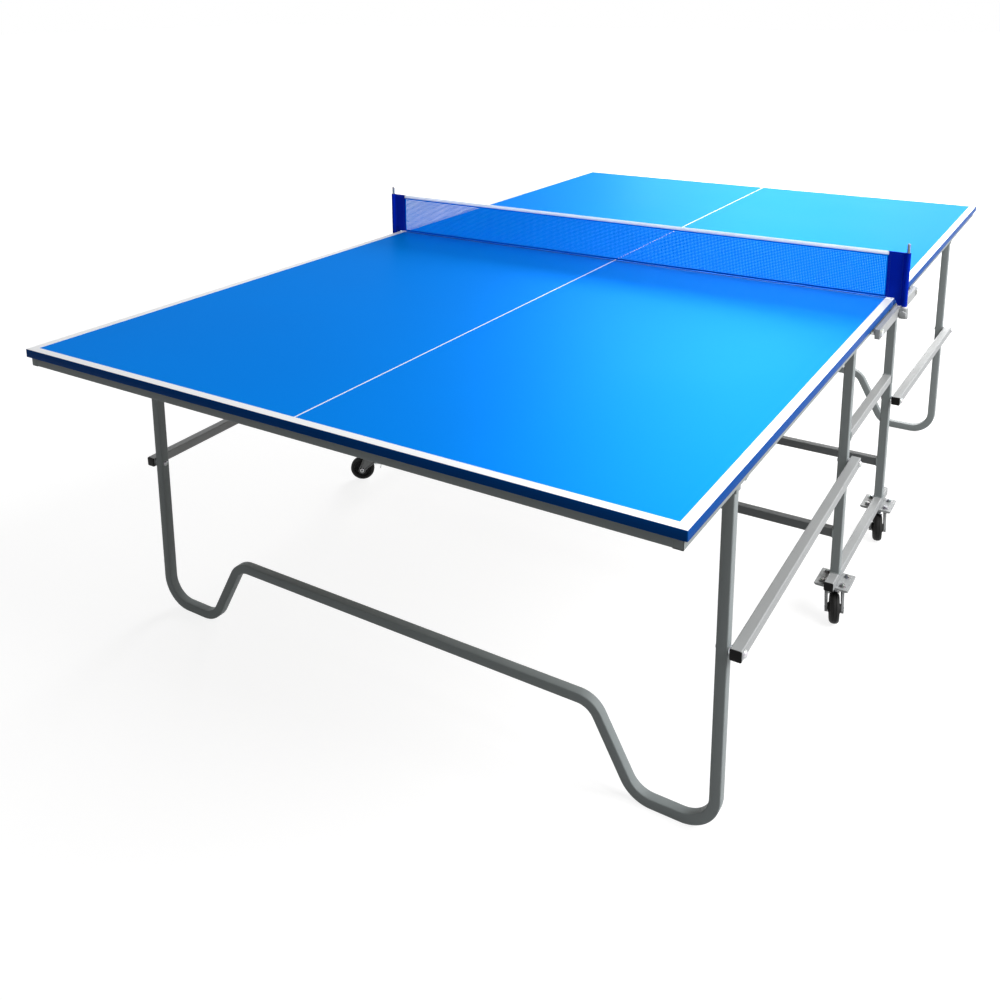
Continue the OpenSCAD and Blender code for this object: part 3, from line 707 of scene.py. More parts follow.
def leg_path():
    """One leg's centreline in X and Z: down, round the floor loops and up to the raised crossbar."""
    foot_z, bar_z = TUBE / 2, LEG_BAR_Z + TUBE / 2
    foot_x, shoulder_x = SIDE_X - FOOT_L, SIDE_X - SHOULDER_IN
    slope = math.degrees(math.atan2(bar_z - foot_z, foot_x - shoulder_x))
    tangent = math.tan(math.radians(slope / 2))
    half = [(SIDE_X, z) for z in (LEG_TOP, *STRAIGHT_STEPS)]
    half += arc((SIDE_X - FOOT_R, foot_z + FOOT_R), FOOT_R, 0, -90, 20)
    half += arc((foot_x + KNEE_R * tangent, foot_z + KNEE_R), KNEE_R, -90, -90 - slope, 14)
    half += arc((shoulder_x - SHOULDER_R * tangent, bar_z - SHOULDER_R), SHOULDER_R, 90 - slope, 90, 14)
    return half + [(-x, z) for x, z in reversed(half)]


def leg(end):
    """The bent tube and the two lugs that hang it from the half."""
    name = END_NAME[end]
    shape = Shape()
    path = [Vector((x, -LEG_Y, z)) for x, z in leg_path()]
    shape.take(sweep(path, rounded_square(TUBE, TUBE_CORNER), Vector((0, 1, 0))), mirrored(1, end))
    radius, drop, thick, rise = 11 * MM, 22 * MM, 2.5 * MM, LEG_TOP - LEG_HINGE.z
    back, front = -(LEG_Y + LEG_HINGE.y) - TUBE / 2, -(LEG_Y + LEG_HINGE.y) + TUBE / 2
    lug = [(back, rise), (back, -drop), (front, -drop), (front, -radius), *arc((0, 0), radius, -90, 0, 6),
           (radius, rise)]
    for side in (-1, 1):
        where = at(SIDE_OUT, LEG_HINGE.y, LEG_HINGE.z) @ STANDING_YZ
        shape.take(slab(lug, thick, 0.5 * MM), mirrored(side, end) @ where)
    shape.piece(f"{name}_leg_tube", f"{name}_leg_frame", [FRAME], "frame_paint", [f"{name}_leg"])


for end_side in (-1, 1):
    leg(end_side)


# ---- Trolley welds ----

BEAD_R = 1.7 * MM
BEAD_STEP = 0.9 * MM


def weld_bead(loop):
    """A bead with a welder's ripples round a loop of points."""
    points = []
    for a, b in zip(loop, loop[1:] + loop[:1]):
        steps = max(2, int((b - a).length / BEAD_STEP))
        points += [a.lerp(b, i / steps) for i in range(steps)]

    def rippled(i):
        return circle(BEAD_R * (1 + 0.16 * math.sin(i * 2.1)), 6)

    normal = (loop[1] - loop[0]).cross(loop[-1] - loop[0]).normalized()
    return sweep(points, rippled, normal, True)


def square_loop(centre, u, v):
    """A square round a tube, in the plane of u and v, with its corners cut."""
    half = (TUBE + 0.4 * MM) / 2
    c, u, v, cut = Vector(centre), u * half, v * half, 0.8
    return [c + u * cut + v, c - u * cut + v, c - u + v * cut, c - u - v * cut,
            c - u * cut - v, c + u * cut - v, c + u - v * cut, c + u + v * cut]


def trolley_welds():
    """Beads where the crossbars, rails and posts meet."""
    shape = Shape()
    bar_z = sum(corner.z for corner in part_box("near_crossbar")) / 2
    rail_z = sum(corner.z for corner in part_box("right_upper_rail")) / 2
    x, y = Vector((1, 0, 0)), Vector((0, 1, 0))
    for side, end in CORNERS:
        for centre, u, v in (((post_lo.x, -POST_Y, bar_z), y, UP), ((SIDE_X, post_hi.y, rail_z), x, UP),
                             ((SIDE_X, -POST_Y, post_lo.z), x, y)):
            shape.take(weld_bead(square_loop(centre, u, v)), mirrored(side, end))
    shape.piece("trolley_welds", "trolley", [FRAME], "frame_paint")


trolley_welds()


# ---- Bolts ----

PIN_R = 4 * MM
PIN_BORE_MM = 8.2
HINGE_PIN_R = 5 * MM


def link_bolt(shape, side, end, y, z):
    """A pin through a link, a washer and a tube: domed head outside, formed over a small washer inside."""
    place = mirrored(side, end) @ at(0, y, z)
    inside = SIDE_OUT - TUBE
    shape.take(rod(PIN_R, 0, LINK_OUT - inside + MM), place @ facing_x(inside - MM))
    shape.take(washer(17, 1.2, PIN_BORE_MM), place @ facing_x(LINK_OUT))
    shape.take(dome_head(14, 4.4), place @ facing_x(LINK_OUT + 1.1 * MM))
    shape.take(washer(18, (LINK_IN - SIDE_OUT) / MM - 0.2, PIN_BORE_MM), place @ facing_x(SIDE_OUT))
    shape.take(washer(13, 0.8, PIN_BORE_MM), place @ facing_x(inside - 0.8 * MM), 1)
    shape.take(dome_head(10.5, 2.4), place @ facing_x(inside - 0.7 * MM, -1), 1)


def bolts():
    """The posts' link bolts, the hinge pins, and each leg frame's bolts."""
    posts, hinges = Shape(), Shape()
    for side, end in CORNERS:
        link_bolt(posts, side, end, LINK_POST.y, LINK_POST.z)
        place = mirrored(side, end) @ at(0, HINGE.y, HINGE.z)
        hinges.take(rod(HINGE_PIN_R, 0, rail_hi.x - SIDE_OUT + 8 * MM, 28),
                    place @ facing_x(SIDE_OUT - 7.5 * MM))
        hinges.take(hex_prism(16.5, 4.4, 0.2), place @ facing_x(rail_hi.x))
        hinges.take(washer(16, (rail_lo.x - APRON_OUT) / MM - 0.3, 10.2),
                    place @ facing_x(APRON_OUT + 0.3 * MM))
        hinges.take(hex_prism(16.5, 6.4), place @ facing_x(SIDE_OUT, -1))
    posts.piece("post_bolts", "trolley", [ZINC, STEEL], "zinc", ["link_post_bolts"])
    hinges.piece("hinge_pins", "trolley", [ZINC], "zinc", ["hinge_bolts"])
    for end, name in END_NAME.items():
        legs = Shape()
        for side in (-1, 1):
            link_bolt(legs, side, end, -LEG_Y, LINK_POST.z - LEG_DROP)
            place = mirrored(side, end) @ at(0, LEG_HINGE.y, LEG_HINGE.z)
            legs.take(rod(PIN_R, 0, APRON_IN - SIDE_OUT + 10 * MM), place @ facing_x(SIDE_OUT - 8 * MM))
            legs.take(dome_head(14, 4.2), place @ facing_x(APRON_IN + 0.2 * MM))
            legs.take(hex_prism(13, 6.3), place @ facing_x(SIDE_OUT, -1))
        legs.piece(f"{name}_leg_pins", f"{name}_leg_frame", [ZINC, STEEL], "zinc", [f"{name}_leg_bolts"])


bolts()


# ---- Net ----

NET_PITCH = 4 * MM
NET_CORD = 2.0 * MM
NET_THICK = 0.7 * MM
SLEEVE_THICK = 0.9 * MM
net_lo, net_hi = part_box("net_mesh")
tape_lo, tape_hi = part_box("net_tape")
sleeve_lo, sleeve_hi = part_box("net_sleeves")
NET_HALF = net_hi.x
NET_FOOT = net_lo.z
TAPE_LIFT = 4.5 * MM
NET_TOP = net_hi.z + TAPE_LIFT + 0.5 * MM
RIBBON_STEPS = 150


def fade(x):
    """1 at the middle of the net, 0 at its sleeves."""
    return math.cos(math.pi * x / (2 * NET_HALF))


def net_bow(x, z):
    """How far the net stands off its plane: slow waves that die out at the tape and the sleeves."""
    down = (NET_TOP - z) / (NET_TOP - NET_FOOT)
    wave = math.sin(23 * x + 1.3) + 0.6 * math.sin(51 * x) + 0.4 * math.sin(9 * x - 2 * down)
    return 0.7 * MM * fade(x) * down * wave


def thickened(bm, thickness):
    bmesh.ops.recalc_face_normals(bm, faces=bm.faces)
    bmesh.ops.solidify(bm, geom=bm.faces[:], thickness=thickness)
    return bm


def net_mesh():
    """A knitted net: a sheet with a square hole between each pair of cords."""
    columns, rows = round(2 * NET_HALF / NET_PITCH), round((NET_TOP - NET_FOOT) / NET_PITCH)
    step_x, step_z = 2 * NET_HALF / columns, (NET_TOP - NET_FOOT) / rows
    cord = NET_CORD / 2
    xs = [-NET_HALF + i * step_x + half for i in range(columns + 1) for half in (-cord, cord)][1:-1]
    zs = [NET_FOOT + k * step_z + half for k in range(rows + 1) for half in (-cord, cord)][1:-1]
    xs[0], xs[-1] = -NET_HALF, NET_HALF
    bm = bmesh.new()
    grid = {}

    def corner(i, k):
        if (i, k) not in grid:
            lean = 0.15 * MM * math.sin(7.0 * (i // 2) + 1.7 * (k // 2)) * (0 < i < len(xs) - 1)
            grid[i, k] = bm.verts.new((xs[i] + lean, net_bow(xs[i], zs[k]), zs[k]))
        return grid[i, k]

    for i in range(len(xs) - 1):
        for k in range(len(zs) - 1):
            if i % 2 or k % 2 or i in (0, len(xs) - 2) or k in (0, len(zs) - 2):
                bm.faces.new((corner(i, k), corner(i + 1, k), corner(i + 1, k + 1), corner(i, k + 1)))
    shape = Shape()
    shape.take(thickened(bm, NET_THICK))
    return shape.piece("net", "net", [CORD], "net_cloth", ["net_mesh"], 60)


def ribbon(outline, shift):
    """Runs a (y, z) outline from sleeve to sleeve. shift(x, z) tells how far a point moves in Y and Z."""
    rows = []
    for i in range(RIBBON_STEPS + 1):
        x = -NET_HALF + 2 * NET_HALF * i / RIBBON_STEPS
        moves = [shift(x, z) for y, z in outline]
        rows.append([(x, y + dy, z + dz) for (y, z), (dy, dz) in zip(outline, moves)])
    return skinned(rows)


def net_hem():
    """The net's foot, folded into a narrow hem."""
    half, high = 0.9 * MM, 5.5 * MM
    outline = rounded_outline(rectangle(-half, 0, half, high), half * 0.8, 3)
    shape = Shape()
    shape.take(ribbon(outline, lambda x, z: (net_bow(x, NET_FOOT), NET_FOOT)))
    return shape.piece("net_foot_hem", "net", [HEM], "sleeve_cloth", (), 50)


def stitches(shape, start, finish, out):
    """A row of raised stitches from start to finish; out is the side they stand on."""
    length, gap = 2.6 * MM, 1.2 * MM
    start, finish = Vector(start), Vector(finish)
    along = (finish - start).normalized()
    turn = Matrix((along, Vector(out), along.cross(Vector(out)))).transposed().to_4x4()
    thin, thick, end = 0.22 * MM, 0.3 * MM, 0.25 * MM
    profile = [(0, 0), (thin, end), (thick, length / 2), (thin, length - end), (0, length)]
    for i in range(int((finish - start).length / (length + gap))):
        where = Matrix.Translation(start + along * i * (length + gap)) @ turn @ facing_x()
        shape.take(lathe(profile, 5), where, 1)


def net_tape():
    """White tape over the net's top edge, sewn along both faces."""
    half, top, low = (tape_hi.y - tape_lo.y) / 2, tape_hi.z, tape_lo.z + TAPE_LIFT
    rise = [(half, low), (half, top - half * 0.9), (half * 0.75, top - half * 0.3), (half * 0.3, top)]
    outline = [(-y, z) for y, z in rise] + rise[::-1]

    def ripple(x, z):
        return 0.25 * MM * math.sin(31 * x) * fade(x), -0.4 * MM * fade(x) ** 2 * (z > low + MM)

    shape = Shape()
    shape.take(ribbon(outline, ripple))
    for out in (-1, 1):
        z, y = low + 2.2 * MM, out * (half + 0.02 * MM)
        stitches(shape, (-NET_HALF + 2 * MM, y, z), (NET_HALF - 2 * MM, y, z), (0, out, 0))
    return shape.piece("net_binding", "net", [TAPE, WHITE_THREAD], "net_tape", ["net_tape"])


def sleeve(inner_x, neck, flat, loop):
    """One canvas pocket: the loop raised in rows, its foot lower beyond the table's edge, and creased."""
    top, rows = sleeve_hi.z, 26
    bm = bmesh.new()
    grid = []
    for r in range(rows + 1):
        v = r / rows
        row = []
        for x, y in loop:
            drop = min(1.0, max(0.0, (x - HALF_W - 2.5 * MM) / (4 * MM)))
            low = NET_FOOT + (sleeve_lo.z - NET_FOOT) * drop * drop * (3 - 2 * drop)
            crease = 0.35 * MM * math.sin(60 * v + 5 * x / (10 * MM)) * math.sin(math.pi * v)
            pull = 0.5 * MM * math.sin(math.pi * v) * (x < inner_x + 12 * MM)
            row.append(bm.verts.new((x + pull, y + crease * (1 if y > 0 else -1), low + (top - low) * v)))
        grid.append(row)
    for a, b in zip(grid, grid[1:]):
        for i in range(len(a) - 1):
            bm.faces.new((a[i], a[i + 1], b[i + 1], b[i]))
    thickened(bm, SLEEVE_THICK)
    bmesh.ops.recalc_face_normals(bm, faces=bm.faces)
    seams = Shape()
    for out in (-1, 1):
        y = out * (flat + 0.55 * MM)
        for x in (inner_x + 4 * MM, inner_x + 7 * MM, neck - 4 * MM):
            stitches(seams, (x, y, NET_FOOT + 3 * MM), (x, y, top - 3 * MM), (0, out, 0))
        stitches(seams, (inner_x + 8 * MM, y, top - 5 * MM), (neck - 5 * MM, y, top - 5 * MM), (0, out, 0))
    return bm, seams.bm


def net_sleeves():
    """At each end a canvas pocket that slips over the post, hemmed at its inner edge and top."""
    post_r, flat = 6.4 * MM, 1.15 * MM
    inner_x = NET_HALF - 2 * MM
    neck = NET_POST_X - post_r * math.cos(math.asin(flat / post_r))
    loop = [(inner_x + (neck - 6 * MM - inner_x) * k / 8, flat) for k in range(9)]
    loop += [(neck - 3 * MM, flat * 1.1), (neck - 0.6 * MM, flat * 1.5)]
    back = [(x, -y) for x, y in reversed(loop)]
    opening = math.degrees(0.35)
    loop += arc((NET_POST_X, 0), post_r, 180 - opening, opening - 180, 18) + back
    shape = Shape()
    for side in (-1, 1):
        cloth, seams = sleeve(inner_x, neck, flat, loop)
        shape.take(cloth, mirrored(side))
        shape.take(seams, mirrored(side), 1)
    return shape.piece("net_pockets", "net", [SLEEVE, NAVY_THREAD], "sleeve_cloth", ["net_sleeves"], 45)


def net_post_pair():
    """Steel posts with a thin tip, and the collars that stand on the brackets."""
    shape = Shape()
    lo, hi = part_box("net_posts")
    r, tip_r, shoulder = NET_POST_R, 3.7 * MM, tape_hi.z - 4 * MM
    post = [(0, lo.z), (r - 0.8 * MM, lo.z), (r, lo.z + 0.8 * MM), (r, shoulder),
            (tip_r, shoulder + 1.5 * MM), *arc((0, hi.z - tip_r), tip_r, 0, 75, 5), (0, hi.z)]
    bore, wide = 5.05, 8
    collar = mm([(bore, 0), (7.4, 0), (wide, 0.6), (wide, 3.2), (7.2, 4), (bore, 4), (bore, 0)])
    for side in (-1, 1):
        place = mirrored(side) @ at(NET_POST_X, 0, 0)
        shape.take(lathe(post, 36), place)
        shape.take(lathe(collar, 36), place @ at(0, 0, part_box("right_net_bracket")[1].z), 1)
    shape.piece("net_uprights", "net", [STEEL, ZINC], "zinc", ["net_posts"])


net = net_mesh()
hem = net_hem()
binding = net_tape()
pockets = net_sleeves()
net_post_pair()


# ---- Brackets and thumb screws ----

def net_bracket(side):
    """A rounded block on the net rail with the post's bore."""
    name = SIDE_NAME[side]
    lo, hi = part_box("right_net_bracket")
    outline = rounded_outline(rectangle(lo.x, lo.y, hi.x, hi.y), mm([1, 7, 7, 1]), 6)
    bore = [(NET_POST_X + x, y) for x, y in circle(5.1 * MM, 28)]
    shape = Shape()
    shape.take(slab(outline, hi.z - lo.z, 0.6 * MM, [bore]), mirrored(side) @ at(0, 0, lo.z))
    shape.piece(f"{name}_clamp_body", "trolley", [RAIL], "rail_paint", [f"{name}_net_bracket"])


def thumb_screw(side):
    """A fluted, coated knob on a zinc screw."""
    name = SIDE_NAME[side]
    lo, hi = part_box("right_thumb_screw")
    place = mirrored(side) @ axis_to((0, -1, 0), (NET_POST_X, 0, (lo.z + hi.z) / 2))
    knob_r, knob_t, flute = 9 * MM, 8 * MM, 1.3 * MM
    knob_at = -lo.y - knob_t
    screw_r, pitch, z = 3 * MM, 1 * MM, 5.3 * MM
    root_r = screw_r * 0.84
    profile = [(0, z)]
    while z < knob_at - 0.5 * MM:
        profile += [(root_r, z), (screw_r, z + pitch / 2)]
        z += pitch
    profile += [(root_r, knob_at + MM), (0, knob_at + MM)]
    shape = Shape()
    shape.take(lathe(profile, 24), place, 1)
    flutes = []
    for x, y in circle(1, 72):
        r = knob_r - flute * max(0.0, math.cos(6 * math.atan2(y, x))) ** 1.5
        flutes.append((r * x, r * y))
    rows = [(0.86, 0), (0.97, 0.8), (1.0, 2), (1.0, 6), (0.96, 7.2), (0.82, 8), (0.3, 8)]
    knob = skinned([[(s * x, s * y, h * MM) for x, y in flutes] for s, h in rows])
    shape.take(knob, place @ at(0, 0, knob_at))
    shape.piece(f"{name}_knob", f"{name}_clamp", [RAIL, ZINC], "zinc", [f"{name}_thumb_screw"], 40)


for x_side in (-1, 1):
    net_bracket(x_side)
    thumb_screw(x_side)


# ---- Caps ----

def plug_cap():
    """A tube cap along +X: a pillowed flange."""
    outline = rounded_square(TUBE, 3 * MM, 5)
    rows = [(0.985, 0), (1.0, 0.4), (1.0, 1.8), (0.95, 2.6), (0.8, 3.0)]
    return skinned([[(h * MM, x * s, y * s) for x, y in outline] for s, h in rows])


def caps():
    """Plugs in the trolley's tubes, caps on the net rails and on the links."""
    plugs, rail_ends = Shape(), Shape()
    base_lo, base_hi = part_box("right_base_rail")
    section = rail_hi - rail_lo
    middle = (rail_lo + rail_hi) / 2
    size = Matrix.Diagonal((0.6, (section.x - 0.3 * MM) / TUBE, (section.z - 0.3 * MM) / TUBE, 1))
    for side, end in CORNERS:
        place = mirrored(side, end)
        plugs.take(plug_cap(), place @ at(SIDE_X, base_lo.y, base_hi.z - TUBE / 2) @ turned(-90, "Z"))
        plugs.take(plug_cap(), place @ at(SIDE_X, -POST_Y, post_hi.z) @ turned(-90, "Y"))
        rail_ends.take(plug_cap(), place @ at(middle.x, rail_lo.y, middle.z) @ turned(-90, "Z") @ size)
    plugs.piece("tube_plugs", "trolley", [BLACK], "black_plastic", ["trolley_plugs"])
    rail_ends.piece("net_rail_caps", "trolley", [RAIL], "rail_paint")
    run, over = LEG_Y + LINK_POST.y, 12 * MM
    tilt = Matrix.Rotation(math.atan2(LEG_DROP, run), 4, "Y")
    for end, name in END_NAME.items():
        shape = Shape()
        for side in (-1, 1):
            along = mirrored(side, end) @ at((LINK_IN + LINK_OUT) / 2, LINK_POST.y, LINK_POST.z)
            along = along @ turned(-90, "Z") @ tilt
            shape.take(plug_cap(), along @ at(math.hypot(run, LEG_DROP) + over, 0, 0))
            shape.take(plug_cap(), along @ at(-over, 0, 0) @ turned(180, "Z"))
        shape.piece(f"{name}_link_plugs", f"{name}_links", [BLACK], "black_plastic", [f"{name}_link_caps"])


caps()


# ---- Casters ----

CHEEK_IN, CHEEK = 16 * MM, 3 * MM
CHEEK_OUT = CHEEK_IN + CHEEK
CROWN_UNDER = 80.7 * MM
BRAKE_PIN_Y, BRAKE_PIN_R = 14 * MM, 2.5 * MM
PLATE = 3 * MM
PLATE_HALF = 40 * MM
BOLT_OUT = 24 * MM


def caster_place(name):
    """The caster's own frame: its axle along X, its wheel trailing towards -Y, on the swivel's axis."""
    swivel, axle = pivots[f"{name}_swivel"], axes[f"{name}_roll"]
    turn = math.atan2(axle.y, axle.x)
    trail = pivots[f"{name}_roll"] - swivel
    if math.sin(turn) * trail.x - math.cos(turn) * trail.y < 0:
        turn += math.pi
    return at(swivel.x, swivel.y, 0) @ Matrix.Rotation(turn, 4, "Z")


def both_sides(half):
    """Closes a turned profile over the mirror of its first half."""
    return mm(half + [(r, -z) for r, z in reversed(half)] + half[:1])


def wheel(name):
    """Grooved tread on a ribbed disc with a hub. Its sizes are in millimetres."""
    lo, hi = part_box(f"{name}_wheel")
    radius = (hi.z - lo.z) / 2 / MM
    half, crown, groove = 11, 5.5, 3.6

    def over(x):
        return radius - crown * (abs(x) / half) ** 2.4

    tread = [(radius - 10.5, -9.5), (radius - 8.5, -half)]
    tread += [(over(x * half), x * half) for x in (-1, -0.9, -0.78, -0.64, -0.5)]
    tread += [(over(groove) - dip, off - groove)
              for off, dip in ((-1.1, 0), (-0.7, 1.2), (0.7, 1.2), (1.1, 0))]
    rim, hub, bore, web = radius - 10.4, 12, 4.15, 4
    disc = [(bore, -15), (hub - 1.5, -15), (hub, -14), (hub + 1, -web - 0.5), (rim - 3, -web),
            (rim - 1.5, -9), (rim, -9.5)]
    place = caster_place(name) @ at(0, -TRAIL, radius * MM) @ facing_x()
    shape = Shape()
    shape.take(lathe(both_sides(tread), 72), place)
    shape.take(lathe(both_sides(disc), 60), place, 1)
    for i in range(6):
        rib = block(mm((hub - 1, -1.1, -8)), mm((rim - 1, 1.1, 8)), 0.4 * MM, 1)
        shape.take(rib, place @ turned(60 * i, "Z"), 1)
    shape.piece(f"{name}_tyre", f"{name}_roller", [RUBBER, HUB], "wheel_rubber", [f"{name}_wheel"], 35)


def fork(name):
    """A pressed fork: rounded crown, cheeks with turned rims, axle with its nut and the brake's pin."""
    shape = Shape()
    place = caster_place(name)
    front, back, boss, top = 20 * MM, 24 * MM, 11 * MM, CROWN_UNDER + CHEEK
    outline = [(front, top - 1.2 * MM), (-back, top - 1.2 * MM), (-TRAIL - boss, AXLE_Z)]
    outline += arc((-TRAIL, AXLE_Z), boss, 195, 345, 10)
    outline += [(-TRAIL + boss, AXLE_Z), (front, top - 12 * MM)]
    cheek = rounded_outline(outline, mm([3, 4, 2] + [0] * 11 + [2, 5]))
    rim, overlap = 3 * MM, 0.3 * MM
    for x, rim_x in ((-CHEEK_OUT, -CHEEK_OUT - rim), (CHEEK_IN, CHEEK_OUT - overlap)):
        shape.take(slab(cheek, CHEEK, 0.5 * MM), place @ at(x, 0, 0) @ STANDING_YZ)
        turned_rim = slab(cheek, rim + overlap, 0.4 * MM, [inset(cheek, 2.2 * MM)])
        shape.take(turned_rim, place @ at(rim_x, 0, 0) @ STANDING_YZ)
    crown = slab(rectangle(-CHEEK_OUT, -back, CHEEK_OUT, front), CHEEK, 0)
    folds = [e for e in crown.edges if abs(e.verts[0].co.y - e.verts[1].co.y) > 10 * MM
             and all(v.co.z > CHEEK / 2 for v in e.verts)]
    bmesh.ops.bevel(crown, geom=folds, offset=2.4 * MM, segments=5, affect="EDGES", profile=0.5)
    shape.take(crown, place @ at(0, 0, CROWN_UNDER))
    axle = place @ at(0, -TRAIL, AXLE_Z)
    shape.take(rod(PIN_R, -CHEEK_OUT - 4 * MM, CHEEK_OUT + 4.4 * MM), axle @ facing_x())
    shape.take(dome_head(13, 4.4), axle @ facing_x(-CHEEK_OUT, -1), 1)
    shape.take(hex_prism(11.4, 4.2), axle @ facing_x(CHEEK_OUT), 1)
    pin = place @ at(0, BRAKE_PIN_Y, pivots[f"{name}_brake_turn"].z)
    reach = CHEEK_OUT + 1.5 * MM
    shape.take(rod(BRAKE_PIN_R, -reach, reach, 20), pin @ facing_x())
    for sign in (-1, 1):
        shape.take(dome_head(7, 1.5), pin @ facing_x(sign * CHEEK_OUT, sign), 1)
    shape.piece(f"{name}_yoke", f"{name}_caster", [RAIL, ZINC], "zinc", [f"{name}_fork"])


def brake_lever(name):
    """A curved strip that turns on the brake's pin, with a shoe over the tread."""
    shape = Shape()
    place = caster_place(name)
    pin_z = pivots[f"{name}_brake_turn"].z
    radius, thick, half = 27 * MM, 2.5 * MM, 14 * MM
    curve = arc((2 * MM, pin_z - 24 * MM), radius - thick / 2, 65, -25, 24)
    profile = rounded_outline(rectangle(-thick / 2, -half, thick / 2, half), 0.8 * MM, 3)
    shape.take(sweep([Vector((0, y, z)) for y, z in curve], profile, Vector((1, 0, 0))), place)
    eye = ring(BRAKE_PIN_R + 0.1 * MM, 4 * MM, -half, half, 24)
    shape.take(eye, place @ at(0, BRAKE_PIN_Y, pin_z) @ facing_x())
    shoe = block((-half, 7 * MM, pin_z - 22 * MM), (half, 26.5 * MM, pin_z - 17 * MM), 0.8 * MM)
    shape.take(shoe, place)
    shape.piece(f"{name}_brake_strip", f"{name}_brake_lever", [ZINC], "zinc", [f"{name}_brake"])


def caster_tops():
    """Plates, ball races, kingpins and the bolts through the plates."""
    plates, fixings = Shape(), Shape()
    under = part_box("caster_plates")[1].z - PLATE
    spots = [(sx * BOLT_OUT, sy * BOLT_OUT) for sx in (-1, 1) for sy in (-1, 1)]
    holes = [[(cx + x, cy + y) for x, y in circle(4.3 * MM, 16)] for cx, cy in spots]
    outline = rounded_outline(rectangle(-PLATE_HALF, -PLATE_HALF, PLATE_HALF, PLATE_HALF), 6 * MM, 5)
    race = mm([(6.1, -6), (17, -6), (20.5, -5.4), (22, -3.6), (21.6, -1.8), (18.5, -1.2), (18, 0), (6.1, 0),
               (6.1, -6)])
    king = mm([(0, -11.6), (6, -11.6), (8.4, -11.2), (9, -10.2), (9, -9.7), (6, -9.6), (6, 0), (0, 0)])
    bolt = mm([(0, 0), (4, 0), (4, 12.6), (3.4, 13.1), (0, 13.1)])
    for side, end in CORNERS:
        place = mirrored(side, end) @ at(SIDE_X, -POST_Y, under)
        plates.take(slab(outline, PLATE, 0.5 * MM, holes), place)
        plates.take(lathe(race, 56), place, 1)
        plates.take(lathe(king), place, 1)
        for x, y in spots:
            fixings.take(lathe(bolt, 20), place @ at(x, y, 0))
            fixings.take(dome_head(14, 2.4), place @ axis_to((0, 0, -1), (x, y, 0)))
            fixings.take(washer(15, 1.2, PIN_BORE_MM), place @ at(x, y, 6 * MM))
            fixings.take(hex_prism(11, 4.6), place @ at(x, y, 7.1 * MM))
    plates.piece("caster_bearings", "trolley", [RAIL, ZINC], "zinc", ["caster_plates"])
    fixings.piece("caster_fixings", "trolley", [STEEL], "zinc", ["caster_bolts"])


caster_tops()
for x_side, y_end in CORNERS:
    caster = f"{END_NAME[y_end]}_{SIDE_NAME[x_side]}"
    wheel(caster)
    fork(caster)
    brake_lever(caster)


# ---- CAD nodes that stay, with their finishes ----

KEPT = {
    FRAME: "near_left_post near_right_post far_left_post far_right_post post_lugs near_leg_brackets "
           "far_leg_brackets",
    # The crossbars take the darker coat, which is painted shade.
    SHADED_CROSSBAR_COAT: "near_crossbar far_crossbar",
    RAIL: "left_base_rail right_base_rail left_upper_rail right_upper_rail left_net_rail right_net_rail "
          "near_left_link near_right_link far_left_link far_right_link",
}


def modify(node, name, kind, **settings):
    made = node.modifiers.new(name, kind)
    for key, value in settings.items():
        setattr(made, key, value)


def keep(node, finish):
    """Gives a CAD node its finish and, with modifiers only, rounds its sharp edges a little."""
    for slot in node.material_slots:
        slot.material = finish
    modify(node, "weld", "WELD", merge_threshold=0.01 * MM)
    modify(node, "whole_faces", "DECIMATE", decimate_type="DISSOLVE", angle_limit=math.radians(1))
    modify(node, "rounded_edges", "BEVEL", width=0.35 * MM, segments=2, limit_method="ANGLE",
           angle_limit=math.radians(40), harden_normals=True)
    modify(node, "even_shading", "WEIGHTED_NORMAL", keep_sharp=False, weight=50)


for coat, node_names in KEPT.items():
    for kept_name in node_names.split():
        keep(frame["nodes"][kept_name], coat)


# ---- Studio ----

FLOOR_SIZE = 40
FLOOR_SHADE = 0.30
FLOOR_GLOW = 0.85
GLOW_FROM, GLOW_TO = 2.0, 7.0
SURROUND_FILL = 0.12


def seen_directly(graph):
    """1 for what the camera, a reflection or glass shows, 0 for what lights the object."""
    rays = graph.node("LightPath").outputs
    seen = rays["Is Camera Ray"]
    for kind in ("Is Glossy Ray", "Is Transmission Ray"):
        seen = graph.math("MAXIMUM", seen, rays[kind])
    return seen


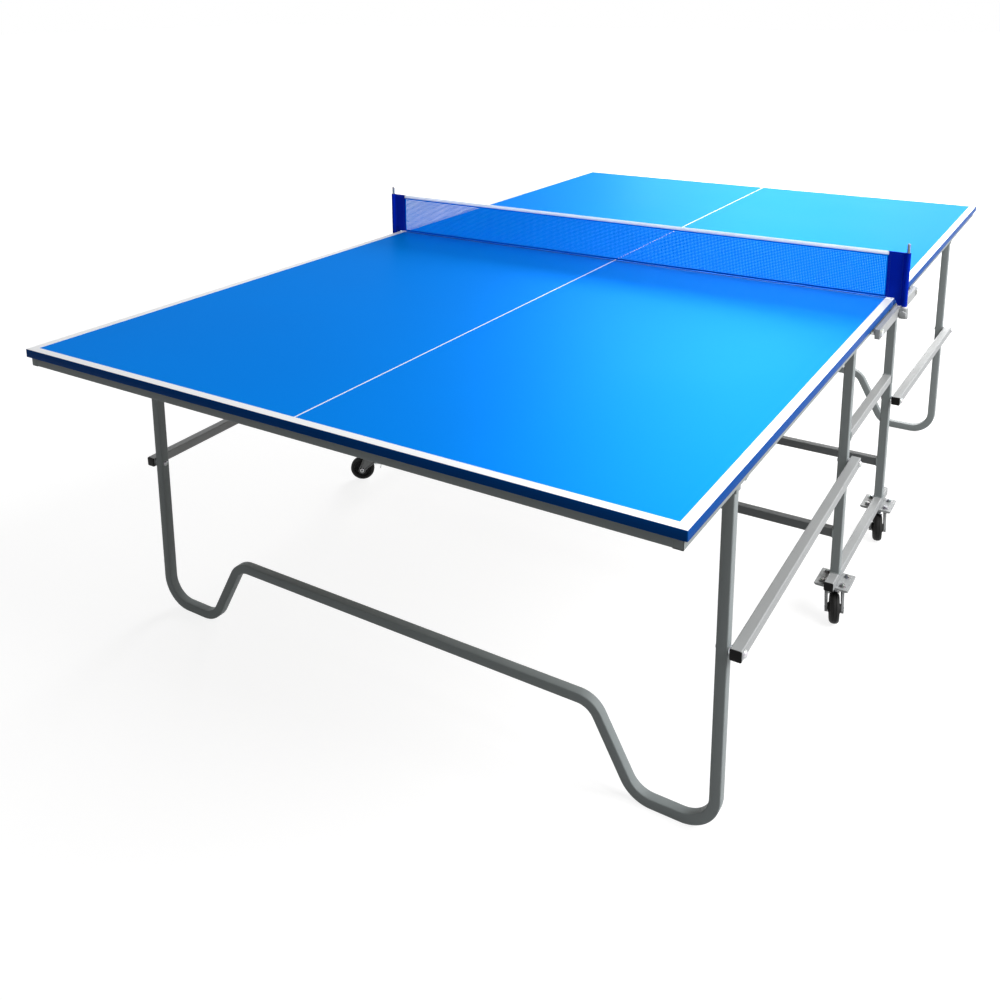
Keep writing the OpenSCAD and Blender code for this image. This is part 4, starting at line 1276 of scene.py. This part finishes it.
def floor():
    """A white floor that keeps a soft shadow and glows a little more away from the table."""
    bm = bmesh.new()
    bmesh.ops.create_grid(bm, x_segments=1, y_segments=1, size=FLOOR_SIZE)
    mesh = bpy.data.meshes.new("floor")
    bm.to_mesh(mesh)
    bm.free()
    stand("floor", mesh)
    f = Finish("floor_white")
    away = f.node("VectorMath", {"operation": "LENGTH"}, Vector=f.place).outputs["Value"]
    glow = f.span(away, FLOOR_GLOW, 1.0, From_Min=GLOW_FROM, From_Max=GLOW_TO)
    f.done(Base_Color=grey(FLOOR_SHADE), Roughness=0.9, Specular_IOR_Level=0.1, Emission_Color=grey(1.0),
           Emission_Strength=f.math("MULTIPLY", seen_directly(f), glow))
    mesh.materials.append(f.material)


def area_light(name, location, target, size_x, size_y, power):
    data = bpy.data.lights.new(name, "AREA")
    data.shape = "RECTANGLE"
    data.size, data.size_y = size_x, size_y
    data.energy = power
    obj = stand(name, data)
    obj.location = location
    obj.visible_camera = False
    obj.rotation_mode = "QUATERNION"
    obj.rotation_quaternion = (Vector(target) - Vector(location)).to_track_quat("-Z", "Y")


def surround():
    """White where it is seen, dim where it lights."""
    world = bpy.data.worlds.new("surround")
    scene.world = world
    world.use_nodes = True
    graph = Graph(world.node_tree)
    background = next(n for n in graph.tree.nodes if n.type == "BACKGROUND")
    level = graph.span(seen_directly(graph), SURROUND_FILL, 1.0)
    graph.fill(background, {"Color": grey(1.0), "Strength": level})


def studio():
    """Soft light from the right and from behind the far end, with windows that the lacquer reflects."""
    floor()
    area_light("right_softbox", (3.7, -0.2, 3.5), (0, 0, 0.6), 3.4, 3.4, 245)
    area_light("far_softbox", (0.4, 5.8, 2.6), (0.3, 0, 0.7), 6.4, 3.8, 300)
    area_light("far_window", (0.2, 6.4, 1.8), (0.5, 0, 0.8), 1.8, 1.5, 30)
    area_light("high_window", (-1.9, 5.4, 3.6), (0.4, -0.6, 0.76), 2.4, 1.6, 95)
    area_light("low_window", (-1.0, 5.4, 2.75), (0.55, -0.25, 0.76), 1.3, 1.2, 34)
    surround()


def camera():
    """Stands at the near right corner, looking across the table and down."""
    data = bpy.data.cameras.new("camera")
    data.sensor_width = 36
    data.lens = 38.04
    data.shift_x = 0.0239
    data.shift_y = -0.275
    data.clip_end = 200
    obj = stand("camera", data)
    heading, pitch, roll = 32.716, 90 - 12.283, -0.489
    turn = turned(heading, "Z") @ turned(pitch, "X") @ turned(roll, "Z")
    obj.matrix_world = at(1.2546, -2.6864, 1.5069) @ turn
    scene.camera = obj


studio()
camera()
scene.view_settings.view_transform = "Standard"
